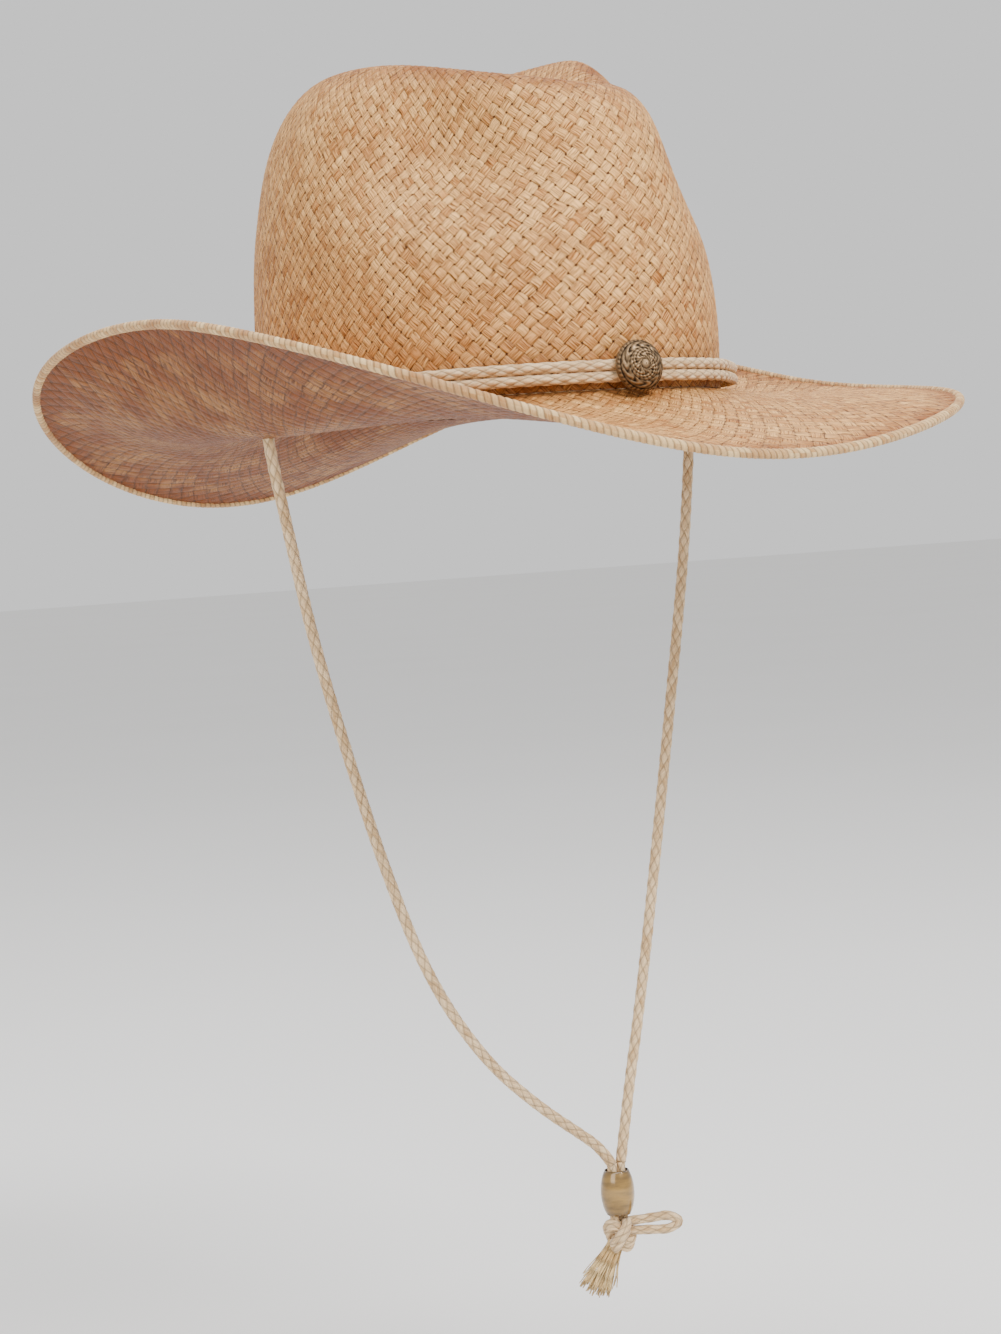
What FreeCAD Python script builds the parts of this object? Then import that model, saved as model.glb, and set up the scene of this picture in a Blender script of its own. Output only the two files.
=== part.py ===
import FreeCAD, Part
import math
import os

V = FreeCAD.Vector

# ---------------------------------------------------------------------------
# A woven straw cowboy hat with a cord band, a concho and a chin cord.
# Millimetres. +Z is up, -Y is the front, +X is the wearer's left.
# The origin is the centre of the head opening, where crown and brim meet.
# Angles round the hat start at the front and grow towards the wearer's left.
# ---------------------------------------------------------------------------

# Head opening and straw body
CROWN_LENGTH = 210.0  # outside, front to back at the head line
CROWN_WIDTH = 170.0  # outside, side to side at the head line
STRAW = 1.5  # thickness of the woven straw
CROWN_TOP = ((0, 61.0, 0.0), (1, -2.0, 0.0), (2, 11.5, -1.6), (3, 3.0, 0.0), (4, 2.5, 0.0))
CROWN_HEIGHT = 138.0  # top edge of the crown at the sides and the back
FRONT_DROP = 22.0  # how much lower the pinched front is
FRONT_TURN = 14.0  # where the lowest place is, in degrees towards the wearer's left
BACK_DROP = 5.0  # how much lower the back is than the sides
SIDE_LEAN = 5.0  # how much one side stands higher than the mean
BOWL_FLOOR = 108.0  # lowest place of the hollow in the top
DENTS = ((-41.0, 21.0, 26.0), (51.0, 16.0, 24.0))  # angle, depth and spread of each pinch
DENT_HEIGHT = 0.74  # share of the crown's height
DENT_REACH = 0.2  # how far up and down, as a share of the height

# Brim edge, as sums of waves round the hat: (multiple of the angle, cosine, sine)
BRIM_REACH = ((0, 176.8, 0.0), (2, 14.0, 1.0), (4, -8.0, 0.0))
BRIM_LIFT = ((0, 1.2, 0.0), (1, -3.8, -7.6), (2, -24.9, -7.0), (3, 4.5, 6.0), (4, -5.0, 0.0))
EDGE_CURL_DOWN = 1.15  # how late the front and the back bend down
EDGE_CURL_UP = 2.2  # how late the sides bend up
BRIM_VALLEY = 9.8  # how far the wearer's right side sinks before it curls up
LEFT_VALLEY = 1.4  # and the left side
EDGE_ROLL = 3.8  # diameter of the rolled straw edge
WIRE = 1.6  # diameter of the wire inside it

# Sweatband
BAND_HEIGHT = 30.0
BAND_THICKNESS = 1.4
BAND_CLEARANCE = 0.3
STITCH = 0.8  # thread diameter
STITCH_LENGTH = 4.0
STITCH_COUNT = 56
STITCH_RISE = 3.0  # from the band's foot up to the row
STITCH_SLANT = 0.25

# Cords
CORD = 4.2  # diameter of the braided cord
CORD_CLEARANCE = 0.3
HAT_BAND_TURNS = 2
HAT_BAND_RISE = 2.1  # from the head line to the lower turn
TURN_GAP = 0.1  # between the turns

# Concho
CONCHO = 19.6  # diameter
CONCHO_RISE = 1.2  # its middle above the middle of the turns
CONCHO_DOME = 6.0
CONCHO_SHEET = 0.8
CONCHO_ANGLE = -6.0  # round the centre of the front's curve
CONCHO_TILT = 6.0  # leans back with the crown
SHANK_WIRE = 1.4
SHANK_ROOT = 0.4  # of the shank's feet inside the back plate

# Chin cord
HOLE_OFFSET = 102.0  # from the hat's centre, each side
HOLE = CORD + 0.8
STOPPER_KNOT = 10.0
KNOT_SEAT = 1.2  # from the straw up to the knot, where the brim slopes
BEAD_WIDTH = 14.0
BEAD_LENGTH = 19.0
BEAD_CLEARANCE = 0.4
BEAD_STEPS = 12
BEAD_FLAT_END = 0.985  # how far along its ellipse the bead is cut off
BEAD_REST = 0.5  # from the bead down to the end knot
STRAND_GAP = 0.1  # between the two strands in the bead
KNOT_WIDTH = 13.5
KNOT_HEIGHT = 15.0
TASSEL_LENGTH = 18.0
TASSEL_END = 8.0  # radius where the threads end
TASSEL_LEAN = (-0.42, 0.3, -1)
TASSEL_ROOT = 2.0  # of its length inside the knot
LOOP_LENGTH = 22.0
LOOP_WIDTH = 8.8  # two cords side by side
LOOP_EDGE = 1.76  # fillet
LOOP_START = 4.0  # from the knot's centre
LOOP_LIFT = 3.0
LOOP_RISE = 3.4  # degrees
LOOP_TURN = 36.9  # degrees towards the front


def waves(terms, angle):
    return sum(c * math.cos(n * angle) + s * math.sin(n * angle) for n, c, s in terms)


def oval(length, width, angle):
    """Distance from the centre of an ellipse to its edge at this angle from the front."""
    return 1 / math.hypot(2 * math.cos(angle) / length, 2 * math.sin(angle) / width)


def polar(radius, angle, z):
    return V(radius * math.sin(angle), -radius * math.cos(angle), z)


def smooth(low, high, value):
    t = min(max((value - low) / (high - low), 0.0), 1.0)
    return t * t * (3 - 2 * t)


# --- straw surfaces ---------------------------------------------------------

def crown_top(angle):
    """Radius and height of the crown's top edge: an egg with its narrow end at the front."""
    shape = waves(CROWN_TOP, angle)
    front = ((1 + math.cos(angle - math.radians(FRONT_TURN))) / 2) ** 4
    back = ((1 - math.cos(angle)) / 2) ** 3
    height = CROWN_HEIGHT - FRONT_DROP * front - BACK_DROP * back + SIDE_LEAN * math.sin(angle)
    return shape, height


def dent(angle, share):
    """How far the two pinches push the wall in, at this share of the crown's height."""
    total = 0.0
    for middle, depth, spread in DENTS:
        off = (math.degrees(angle) - middle + 180) % 360 - 180
        total += depth * math.exp(-((off / spread) ** 2) - ((share - DENT_HEIGHT) / DENT_REACH) ** 2)
    return total


# (share of the height, share of the way from the base outline to the top edge's outline)
WALL_ROWS = ((0, 0), (0.05, 0), (0.16, -0.02), (0.32, 0.0), (0.48, 0.03), (0.6, 0.11), (0.72, 0.2),
             (0.82, 0.33), (0.9, 0.5), (0.96, 0.7), (1.0, 0.93))
# (share of the top edge's radius, share of the hollow's depth that is left)
TOP_ROWS = ((0.9, 0.98), (0.74, 0.7), (0.5, 0.3), (0.25, 0.06), (0.1, 0.0))


def crown_net(columns=48):
    rows = []
    angles = [2 * math.pi * k / columns for k in range(columns)]
    for share, inward in WALL_ROWS:
        row = []
        for a in angles:
            base = oval(CROWN_LENGTH, CROWN_WIDTH, a)
            top, height = crown_top(a)
            row.append(polar(base + (top - base) * inward - dent(a, share), a, share * height))
        rows.append(row)
    for reach, depth in TOP_ROWS:
        row = []
        for a in angles:
            top, height = crown_top(a)
            row.append(polar(top * reach, a, BOWL_FLOOR + (height - BOWL_FLOOR) * depth))
        rows.append(row)
    rows.append([V(0, 0, BOWL_FLOOR)] * columns)
    return rows


def brim_height(share, angle):
    """Height of the brim's top at this share of the way from the head line to the edge."""
    edge = waves(BRIM_LIFT, angle)
    power = EDGE_CURL_DOWN + (EDGE_CURL_UP - EDGE_CURL_DOWN) * smooth(-15, 30, edge)
    sink = BRIM_VALLEY * ((1 - math.sin(angle)) / 2) ** 1.5 + LEFT_VALLEY * math.sin(angle) ** 2
    valley = sink * 6.75 * share * (1 - share) ** 2
    return edge * share ** power - valley


def brim_point(share, angle):
    base = oval(CROWN_LENGTH, CROWN_WIDTH, angle)
    reach = waves(BRIM_REACH, angle)
    return polar(base + (reach - base) * share, angle, brim_height(share, angle))


BRIM_ROWS = (0, 0.04, 0.12, 0.24, 0.38, 0.52, 0.66, 0.78, 0.89, 0.96, 1.0)


def brim_net(columns=64):
    angles = [2 * math.pi * k / columns for k in range(columns)]
    rows = [[polar(oval(CROWN_LENGTH, CROWN_WIDTH, a) - STRAW, a, 0) for a in angles]]
    return rows + [[brim_point(share, a) for a in angles] for share in BRIM_ROWS]


def offset_net(net, distance):
    """The net moved by this distance against the normal that its rows and columns give."""
    count = len(net[0])
    moved = []
    for i, row in enumerate(net):
        below, above = net[max(i - 1, 0)], net[min(i + 1, len(net) - 1)]
        new = []
        for j, p in enumerate(row):
            along = above[j] - below[j]
            around = row[(j + 1) % count] - row[j - 1]
            if around.Length < 1e-6:
                normal = V(0, 0, 1)
            else:
                normal = around.cross(along)
                normal.normalize()
            new.append(p - normal * distance)
        moved.append(new)
    return moved


def net_surface(net, closed_rows=False):
    surface = Part.BSplineSurface()
    rows, columns = len(net), len(net[0])
    if closed_rows:
        mults, knots = [1] * (rows + 1), list(range(rows + 1))
    else:
        mults, knots = [4] + [1] * (rows - 4) + [4], list(range(rows - 2))
    surface.buildFromPolesMultsKnots(
        net, mults, [1] * (columns + 1), knots, list(range(columns + 1)), closed_rows, True, 3, 3)
    return surface


def skin(outer, inner, open_top=False):
    """A closed solid between two nets that share their column count."""
    a, b = net_surface(outer), net_surface(inner)
    faces = [a.toShape(), b.toShape()]
    first, last = a.bounds()[0], a.bounds()[1]
    faces.append(Part.makeRuledSurface(a.uIso(first).toShape(), b.uIso(first).toShape()))
    if open_top:
        faces.append(Part.makeRuledSurface(a.uIso(last).toShape(), b.uIso(last).toShape()))
    return solid_of(faces)


def solid_of(faces):
    shell = Part.Compound(faces)
    shell.sewShape()
    solid = Part.makeSolid(shell.Shells[0])
    if solid.Volume < 0:
        solid.reverse()
    return solid


def ring_tube(points, radius, sides=8):
    """A closed tube along a closed row of points, as one smooth surface."""
    count = len(points)
    grow = 3 / (2 + math.cos(2 * math.pi / sides))
    net = []
    for i, p in enumerate(points):
        along = points[(i + 1) % count] - points[i - 1]
        along.normalize()
        side = V(p.x, p.y, 0)
        side = side - along * side.dot(along)
        side.normalize()
        up = along.cross(side)
        net.append([p + (side * math.cos(t) + up * math.sin(t)) * radius * grow
                    for t in (2 * math.pi * k / sides for k in range(sides))])
    return net


def closed_tube(points, radius):
    face = net_surface(ring_tube(points, radius), True).toShape()
    solid = Part.makeSolid(Part.Shell([face]))
    if solid.Volume < 0:
        solid.reverse()
    return solid


# --- cords --------------------------------------------------------------------

def route_wire(points):
    """Straight runs joined by tangent arcs. Returns the wire, its length and the radii."""
    points = [V(*p) for p in points]
    edges, radii = [], []
    start = points[0]
    for a, b, c in zip(points, points[1:], points[2:]):
        into, out = (b - a), (c - b)
        shorter = min(into.Length, out.Length)
        into.normalize()
        out.normalize()
        half = into.getAngle(out) / 2
        radius = 0.45 * shorter / math.tan(half)
        radii.append(radius)
        back = 0.45 * shorter
        enter, leave = b - into * back, b + out * back
        bisector = out - into
        bisector.normalize()
        middle = b + bisector * (radius / math.cos(half) - radius)
        edges.append(Part.LineSegment(start, enter).toShape())
        edges.append(Part.Arc(enter, middle, leave).toShape())
        start = leave
    edges.append(Part.LineSegment(start, points[-1]).toShape())
    wire = Part.Wire(edges)
    return wire, wire.Length, radii


def cord_tube(name, points, diameter):
    wire, length, radii = route_wire(points)
    start = wire.Edges[0].valueAt(wire.Edges[0].FirstParameter)
    along = wire.Edges[0].tangentAt(wire.Edges[0].FirstParameter)
    ring = Part.Wire(Part.Circle(start, along, diameter / 2).toShape())
    tube = wire.makePipeShell([ring], True, False)
    expected = math.pi * diameter**2 / 4 * length
    if radii:
        print(f"{name}: length {length:.1f}, least radius {min(radii):.1f} "
              f"({min(radii) / diameter:.1f} d), volume {tube.Volume / expected:.4f} of expected")
    return tube


# --- pieces ---------------------------------------------------------------------

def write(name, shape):
    bad = [s for s in shape.Solids if not s.isValid() or s.Volume <= 0]
    if bad or not shape.Solids:
        raise RuntimeError(f"{name} is not a sound solid")
    shape.exportStep(os.path.join("parts", name + ".step"))
    box = shape.BoundBox
    print(f"{name}: {len(shape.Solids)} solid(s), {shape.Volume:.0f} mm3, "
          f"x {box.XMin:.1f}..{box.XMax:.1f} y {box.YMin:.1f}..{box.YMax:.1f} "
          f"z {box.ZMin:.1f}..{box.ZMax:.1f}")


def level_base(net, inner):
    """Keeps the head line of the inner net in the same plane as the outer one."""
    inner[0] = [V(p.x, p.y, q.z) for p, q in zip(inner[0], net[0])]
    return inner


def make_crown():
    net = crown_net()
    return skin(net, level_base(net, offset_net(net, STRAW)))


def make_brim():
    net = brim_net()
    shape = skin(net, offset_net(net, -STRAW), open_top=True)
    for side in (-1, 1):
        shape = shape.cut(Part.makeCylinder(HOLE / 2, 60, V(side * HOLE_OFFSET, 0, -30)))
    return shape


def brim_edge_points(count=72):
    points = []
    for k in range(count):
        a = 2 * math.pi * k / count
        p = brim_point(1.0, a)
        points.append(V(p.x, p.y, p.z - STRAW / 2))
    return points


def make_edge_roll():
    points = brim_edge_points()
    return closed_tube(points, EDGE_ROLL / 2).cut(closed_tube(points, WIRE / 2))


def make_brim_wire():
    return closed_tube(brim_edge_points(), WIRE / 2)


def make_sweatband(columns=48):
    """A plain band inside the crown, standing on the head line."""
    outer, inner = [], []
    for share in (0, 0.15, 0.4, 0.6, 0.85, 1):
        z = BAND_CLEARANCE + BAND_HEIGHT * share
        rows = []
        for inset in (0, BAND_THICKNESS):
            rows.append([
                polar(oval(CROWN_LENGTH, CROWN_WIDTH, a) - STRAW - BAND_CLEARANCE - inset, a, z)
                for a in (2 * math.pi * k / columns for k in range(columns))])
        outer.append(rows[0])
        inner.append(rows[1])
    return skin(outer, inner, open_top=True)


def make_stitches():
    """Short threads round the inside of the band's foot."""
    stitches = []
    for k in range(STITCH_COUNT):
        a = 2 * math.pi * (k + 0.5) / STITCH_COUNT
        radius = oval(CROWN_LENGTH, CROWN_WIDTH, a) - STRAW - BAND_CLEARANCE - BAND_THICKNESS
        here = polar(radius - STITCH / 2, a, BAND_CLEARANCE + STITCH_RISE)
        along = V(math.cos(a), math.sin(a), STITCH_SLANT)
        along.normalize()
        stitches.append(Part.makeCylinder(STITCH / 2, STITCH_LENGTH, here - along * STITCH_LENGTH / 2, along))
    return Part.Compound(stitches)


FRONT_CURVE = CROWN_WIDTH**2 / 4 / (CROWN_LENGTH / 2)  # radius of the oval's front end
CURVE_CENTRE = V(0, FRONT_CURVE - CROWN_LENGTH / 2, 0)
SHANK_GAP = 0.35
SHANK_FRONT = SHANK_GAP + SHANK_WIRE  # from the crown to the shank's own front face
CORD_STANDOFF = SHANK_FRONT + CORD_CLEARANCE  # from the crown to the cords, at the concho
LOOSE_BULGE = 5.5  # how far the cords stand off the crown at the wearer's left


def cord_gap(angle):
    """Gap between the crown and the turns of cord: wider at the concho and where the turns are loose."""
    degrees = math.degrees(angle)
    front = (degrees + 4 + 180) % 360 - 180
    loose = (degrees - 60 + 180) % 360 - 180
    gap = CORD_CLEARANCE + (CORD_STANDOFF - CORD_CLEARANCE) * (1 - smooth(26, 44, abs(front)))
    return gap + (LOOSE_BULGE - CORD_CLEARANCE) * math.exp(-((loose / 17) ** 2))


def turn_height(turn):
    return CORD / 2 + HAT_BAND_RISE + turn * (CORD + TURN_GAP)


def hat_band_points(turn, count=72):
    points = []
    for k in range(count):
        a = 2 * math.pi * k / count
        off = 2 * (cord_gap(a) + CORD / 2)
        points.append(polar(oval(CROWN_LENGTH + off, CROWN_WIDTH + off, a), a, turn_height(turn)))
    return points


def place_on_band(shape):
    """Moves a shape made along +Z, with z measured from the crown's face, to the concho's place."""
    middle = (turn_height(0) + turn_height(HAT_BAND_TURNS - 1)) / 2
    shape.rotate(V(0, 0, 0), V(1, 0, 0), 90)
    shape.translate(V(0, -FRONT_CURVE, middle))
    shape.rotate(V(0, 0, 0), V(0, 0, 1), CONCHO_ANGLE)
    shape.translate(CURVE_CENTRE)
    return shape


BACK_FACE = CORD_STANDOFF + CORD + CORD_CLEARANCE  # where the concho's back plate starts


def lean_back(shape):
    """Tilts the concho with the crown's wall and lifts it above the middle of the turns."""
    shape.rotate(V(0, 0, BACK_FACE), V(1, 0, 0), -CONCHO_TILT)
    shape.translate(V(0, CONCHO_RISE, 0))
    return shape


def revolve(points):
    return Part.Face(Part.makePolygon([V(r, 0, z) for r, z in points + points[:1]])).revolve(
        V(0, 0, 0), V(0, 0, 1), 360)


def dome_profile(radius, base, height, steps=8):
    """An elliptic arc from the rim up to the middle."""
    points = []
    for k in range(steps + 1):
        t = math.pi / 2 * k / steps
        points.append((radius * math.cos(t), base + height * math.sin(t)))
    return points


def make_concho_dome():
    base = BACK_FACE + CONCHO_SHEET
    outer = dome_profile(CONCHO / 2, base, CONCHO_DOME)
    inner = dome_profile(CONCHO / 2 - CONCHO_SHEET, base, CONCHO_DOME - CONCHO_SHEET)
    outer[-1] = (0, outer[-1][1])
    inner[-1] = (0, inner[-1][1])
    return place_on_band(lean_back(revolve(outer + inner[::-1])))


def make_concho_back():
    plate = Part.makeCylinder(CONCHO / 2 - 0.3, CONCHO_SHEET, V(0, 0, BACK_FACE))
    return place_on_band(lean_back(plate))


def make_concho_shank():
    """A staple round both turns of cord, with its feet in the back plate."""
    reach = (CORD + TURN_GAP) * HAT_BAND_TURNS / 2 + CORD_CLEARANCE + SHANK_WIRE / 2
    deep = SHANK_GAP + SHANK_WIRE / 2
    foot = BACK_FACE + SHANK_ROOT
    legs = [(0, reach, foot), (0, reach, deep), (0, -reach, deep), (0, -reach, foot)]
    path = Part.Wire([Part.LineSegment(V(*a), V(*b)).toShape() for a, b in zip(legs, legs[1:])])
    ring = Part.Wire(Part.Circle(V(*legs[0]), V(0, 0, 1), SHANK_WIRE / 2).toShape())
    shank = path.makePipeShell([ring], True, False, 2)
    return place_on_band(shank)


# The chin cord's two strands, from the stopper knot down to the bead
RIGHT_STRAND = [
    (-102, 0, -2), (-101, 0, -14), (-96.3, -0.5, -40), (-88, -1, -86), (-76.5, -1.7, -131),
    (-62, -2.4, -181), (-45.5, -3, -225), (-22.5, -3.4, -259.5), (2, -3.7, -282),
    (22.5, -4, -297), (31.5, -4, -304), (36.3, -4, -311)]
LEFT_STRAND = [
    (102, 0, 5.5), (101.6, 0, -9), (98.7, -0.3, -33), (93.3, -0.9, -68), (83.3, -1.6, -118),
    (73.3, -2.2, -167), (64.3, -2.8, -210), (55.3, -3.2, -251), (47.3, -3.7, -282),
    (41, -4, -311)]
BEAD_TOP = V(38.5, -4, -313.5)
STRAND_END = 2.5  # from the strands' ends down to the bead
BEAD_BOTTOM = BEAD_TOP - V(0, 0, BEAD_LENGTH)


def ellipsoid(width, depth, height, centre):
    ball = Part.makeSphere(0.5)
    matrix = FreeCAD.Matrix()
    matrix.scale(width, depth, height)
    shape = ball.transformGeometry(matrix)
    shape.translate(centre)
    return shape


def make_stopper_knot(side):
    x = side * HOLE_OFFSET
    base = oval(CROWN_LENGTH, CROWN_WIDTH, side * math.pi / 2)
    reach = waves(BRIM_REACH, side * math.pi / 2)
    z = brim_height((HOLE_OFFSET - base) / (reach - base), side * math.pi / 2)
    height = STOPPER_KNOT * 0.8
    return ellipsoid(STOPPER_KNOT, STOPPER_KNOT, height, V(x, 0, z + height / 2 + KNOT_SEAT))


def make_bead():
    """An oval bead with a round bore for both strands."""
    half = BEAD_LENGTH / 2
    bore = CORD + STRAND_GAP / 2 + BEAD_CLEARANCE
    middle = BEAD_WIDTH / 2
    points = []
    for k in range(BEAD_STEPS + 1):
        z = -half + 2 * half * k / BEAD_STEPS
        swell = math.sqrt(1 - (BEAD_FLAT_END * z / half) ** 2)
        points.append((bore + (middle - bore) * swell, z))
    outline = [V(r, 0, z) for r, z in points]
    curve = Part.BSplineCurve()
    curve.interpolate(outline)
    bottom, top = V(bore, 0, -half), V(bore, 0, half)
    edges = [
        Part.LineSegment(bottom, outline[0]).toShape(), curve.toShape(),
        Part.LineSegment(outline[-1], top).toShape(), Part.LineSegment(top, bottom).toShape()]
    face = Part.Face(Part.Wire(edges))
    shape = face.revolve(V(0, 0, 0), V(0, 0, 1), 360)
    shape.translate((BEAD_TOP + BEAD_BOTTOM) * 0.5)
    return shape


def make_cord_pair():
    """Both strands where they run through the bead, side by side."""
    strands = []
    for side in (-1, 1):
        foot = BEAD_BOTTOM + V(side * (CORD + STRAND_GAP) / 2, 0, -BEAD_REST)
        strands.append(Part.makeCylinder(CORD / 2, BEAD_REST + BEAD_LENGTH + STRAND_END, foot))
    return Part.Compound(strands)


KNOT_CENTRE = BEAD_BOTTOM - V(0, 0, BEAD_REST + KNOT_HEIGHT / 2)


def make_end_knot():
    return ellipsoid(KNOT_WIDTH, KNOT_WIDTH, KNOT_HEIGHT, KNOT_CENTRE)


def make_loop():
    """The flattened bight: a band of doubled cord that stands out of the knot."""
    bight = Part.makeBox(LOOP_LENGTH, CORD, LOOP_WIDTH, V(LOOP_START, -CORD / 2, -LOOP_WIDTH / 2))
    bight = bight.makeFillet(LOOP_EDGE, [e for e in bight.Edges if e.Length > LOOP_LENGTH - 1])
    bight.rotate(V(0, 0, 0), V(0, 1, 0), -LOOP_RISE)
    bight.rotate(V(0, 0, 0), V(0, 0, 1), -LOOP_TURN)
    bight.translate(KNOT_CENTRE + V(0, 0, LOOP_LIFT))
    return bight


def make_tassel():
    """The frayed ends, as one solid that widens from the knot down."""
    lean = V(*TASSEL_LEAN)
    lean.normalize()
    start = KNOT_CENTRE + lean * (KNOT_HEIGHT / 2 - TASSEL_ROOT)
    return Part.makeCone(CORD, TASSEL_END, TASSEL_LENGTH, start, lean)


def main():
    os.makedirs("parts", exist_ok=True)
    write("crown", make_crown())
    write("brim", make_brim())
    write("brim_edge_roll", make_edge_roll())
    write("brim_wire", make_brim_wire())
    write("sweatband", make_sweatband())
    write("sweatband_stitches", make_stitches())
    write("hat_band_cord_lower", closed_tube(hat_band_points(0), CORD / 2))
    write("hat_band_cord_upper", closed_tube(hat_band_points(1), CORD / 2))
    write("concho_dome", make_concho_dome())
    write("concho_back", make_concho_back())
    write("concho_shank", make_concho_shank())
    write("chin_cord_right", cord_tube("chin_cord_right", RIGHT_STRAND, CORD))
    write("chin_cord_left", cord_tube("chin_cord_left", LEFT_STRAND, CORD))
    write("chin_cord_knot_right", make_stopper_knot(-1))
    write("chin_cord_knot_left", make_stopper_knot(1))
    write("chin_bead", make_bead())
    write("chin_cord_pair", make_cord_pair())
    write("chin_cord_end_knot", make_end_knot())
    write("chin_cord_loop", make_loop())
    write("chin_cord_tassel", make_tassel())


main()
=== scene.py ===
import math
import random

import bpy
import numpy as np
from mathutils import Matrix, Vector


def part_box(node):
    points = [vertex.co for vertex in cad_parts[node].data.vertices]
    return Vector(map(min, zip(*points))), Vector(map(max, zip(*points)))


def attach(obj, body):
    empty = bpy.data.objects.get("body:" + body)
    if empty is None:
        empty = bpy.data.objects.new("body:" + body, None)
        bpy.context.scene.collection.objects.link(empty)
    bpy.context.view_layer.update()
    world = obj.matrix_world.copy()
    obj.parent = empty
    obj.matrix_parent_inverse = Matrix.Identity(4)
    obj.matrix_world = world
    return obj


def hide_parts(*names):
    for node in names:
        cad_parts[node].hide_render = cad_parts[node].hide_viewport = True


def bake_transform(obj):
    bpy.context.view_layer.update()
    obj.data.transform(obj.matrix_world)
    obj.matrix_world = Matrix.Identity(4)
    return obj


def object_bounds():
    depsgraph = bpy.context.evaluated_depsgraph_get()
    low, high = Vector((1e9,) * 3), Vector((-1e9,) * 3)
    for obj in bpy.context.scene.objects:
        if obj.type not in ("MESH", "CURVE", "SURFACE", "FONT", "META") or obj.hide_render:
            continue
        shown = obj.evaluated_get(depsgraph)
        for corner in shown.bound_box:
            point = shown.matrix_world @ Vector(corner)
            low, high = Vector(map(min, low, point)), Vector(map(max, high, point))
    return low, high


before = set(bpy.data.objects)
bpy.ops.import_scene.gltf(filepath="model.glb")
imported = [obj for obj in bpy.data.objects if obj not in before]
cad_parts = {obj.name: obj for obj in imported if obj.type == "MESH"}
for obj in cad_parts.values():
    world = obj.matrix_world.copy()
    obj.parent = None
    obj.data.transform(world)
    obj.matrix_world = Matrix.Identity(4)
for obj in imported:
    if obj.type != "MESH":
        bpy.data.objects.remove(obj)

FRAME_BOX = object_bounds()

bl_info = {
    "name": "Straw cowboy hat",
    "version": (1, 0, 0),
    "blender": (4, 5, 0),
    "location": "View3D > Sidebar > Hat",
    "description": "Builds a woven straw cowboy hat with a cord band, a concho and a chin cord",
    "category": "Object",
}

MM = 0.001
TURN = 2 * math.pi
SHADOW_BROWN = "#4A2606"

# Sizes of the straw body, in millimetres. Angles start at the front and grow to the wearer's left.
CROWN_LENGTH, CROWN_WIDTH, STRAW = 210.0, 170.0, 1.5
CROWN_TOP = ((0, 61.0, 0.0), (1, -2.0, 0.0), (2, 11.5, -1.6), (3, 3.0, 0.0), (4, 2.5, 0.0))
CROWN_HEIGHT, FRONT_DROP, BACK_DROP, SIDE_LEAN, BOWL_FLOOR = 138.0, 22.0, 5.0, 5.0, 108.0
FRONT_TURN = math.radians(14)
DENTS, DENT_HEIGHT, DENT_REACH = ((-41.0, 21.0, 26.0), (51.0, 16.0, 24.0)), 0.74, 0.2
WALL_ROWS = ((0, 0), (0.05, 0), (0.16, -0.02), (0.32, 0.0), (0.48, 0.03), (0.6, 0.11), (0.72, 0.2),
             (0.82, 0.33), (0.9, 0.5), (0.96, 0.7), (1.0, 0.93))
TOP_ROWS = ((0.9, 0.98), (0.74, 0.7), (0.5, 0.3), (0.25, 0.06), (0.1, 0.0))
BRIM_REACH = ((0, 176.8, 0.0), (2, 14.0, 1.0), (4, -8.0, 0.0))
BRIM_LIFT = ((0, 1.2, 0.0), (1, -3.8, -7.6), (2, -24.9, -7.0), (3, 4.5, 6.0), (4, -5.0, 0.0))
EDGE_CURL_DOWN, EDGE_CURL_UP, BRIM_VALLEY, LEFT_VALLEY = 1.15, 2.2, 9.8, 1.4
BRIM_ROWS = (0, 0.04, 0.12, 0.24, 0.38, 0.52, 0.66, 0.78, 0.89, 0.96, 1.0)
VALLEY_SHARE = 6.75  # makes the deepest place of the valley, a third of the way out, one
BRIM_CELLS = 136  # strips each way round the foot of the brim
CROWN_COLUMNS, BRIM_COLUMNS = 400, 560
CROWN_RELIEF, BRIM_RELIEF = 0.35, 0.3  # height of the strips over the gaps between them
EDGE_RADIUS, EDGE_STRANDS, EDGE_PITCH, EDGE_STEP, EDGE_SIDES = 1.9, 2, 5.2, 0.8, 16
BAND_HEIGHT, BAND_FOOT, BAND_THICKNESS, BAND_LENGTH = 30.0, 0.3, 1.1, 590.0

# Cords, concho and bead, in millimetres and degrees
CORD, CORD_CLEARANCE, CORD_RELIEF, CORD_STEP = 4.2, 0.3, 0.18, 0.9
TURN_RISE, TURN_STEP, TURN_GAP = 2.1, 4.3, 0.1
CONCHO_RADIUS, CONCHO_DOME, CONCHO_SHEET, CONCHO_RISE = 9.8, 5.2, 0.8, 1.2
CONCHO_TILT, CONCHO_ANGLE, SHANK_GAP, SHANK_WIRE = 6.0, -6.0, 0.35, 1.4
BEAD_BORE = 4.7  # radius where the ball is cut off and bored
KNOT_STEP, KNOT_RELIEF = 0.7, 0.14
END_KNOT_TURNS = ((0.9, 14.6), (-1.4, 12.8))  # height over the knot's middle, and width
LOOP_WAY = np.array([0.8, -0.6, 0.0])
LOOP_ROUTE = ((2, -1.9), (9, -2.2), (15, -2.6), (20.5, -3.0), (25.4, 0.0), (20.5, 3.0), (15, 2.6),
              (9, 2.2), (2, 1.9))  # distance from the knot, and height
TASSEL_WAY = np.array([-0.42, 0.3, -1.0])

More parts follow.
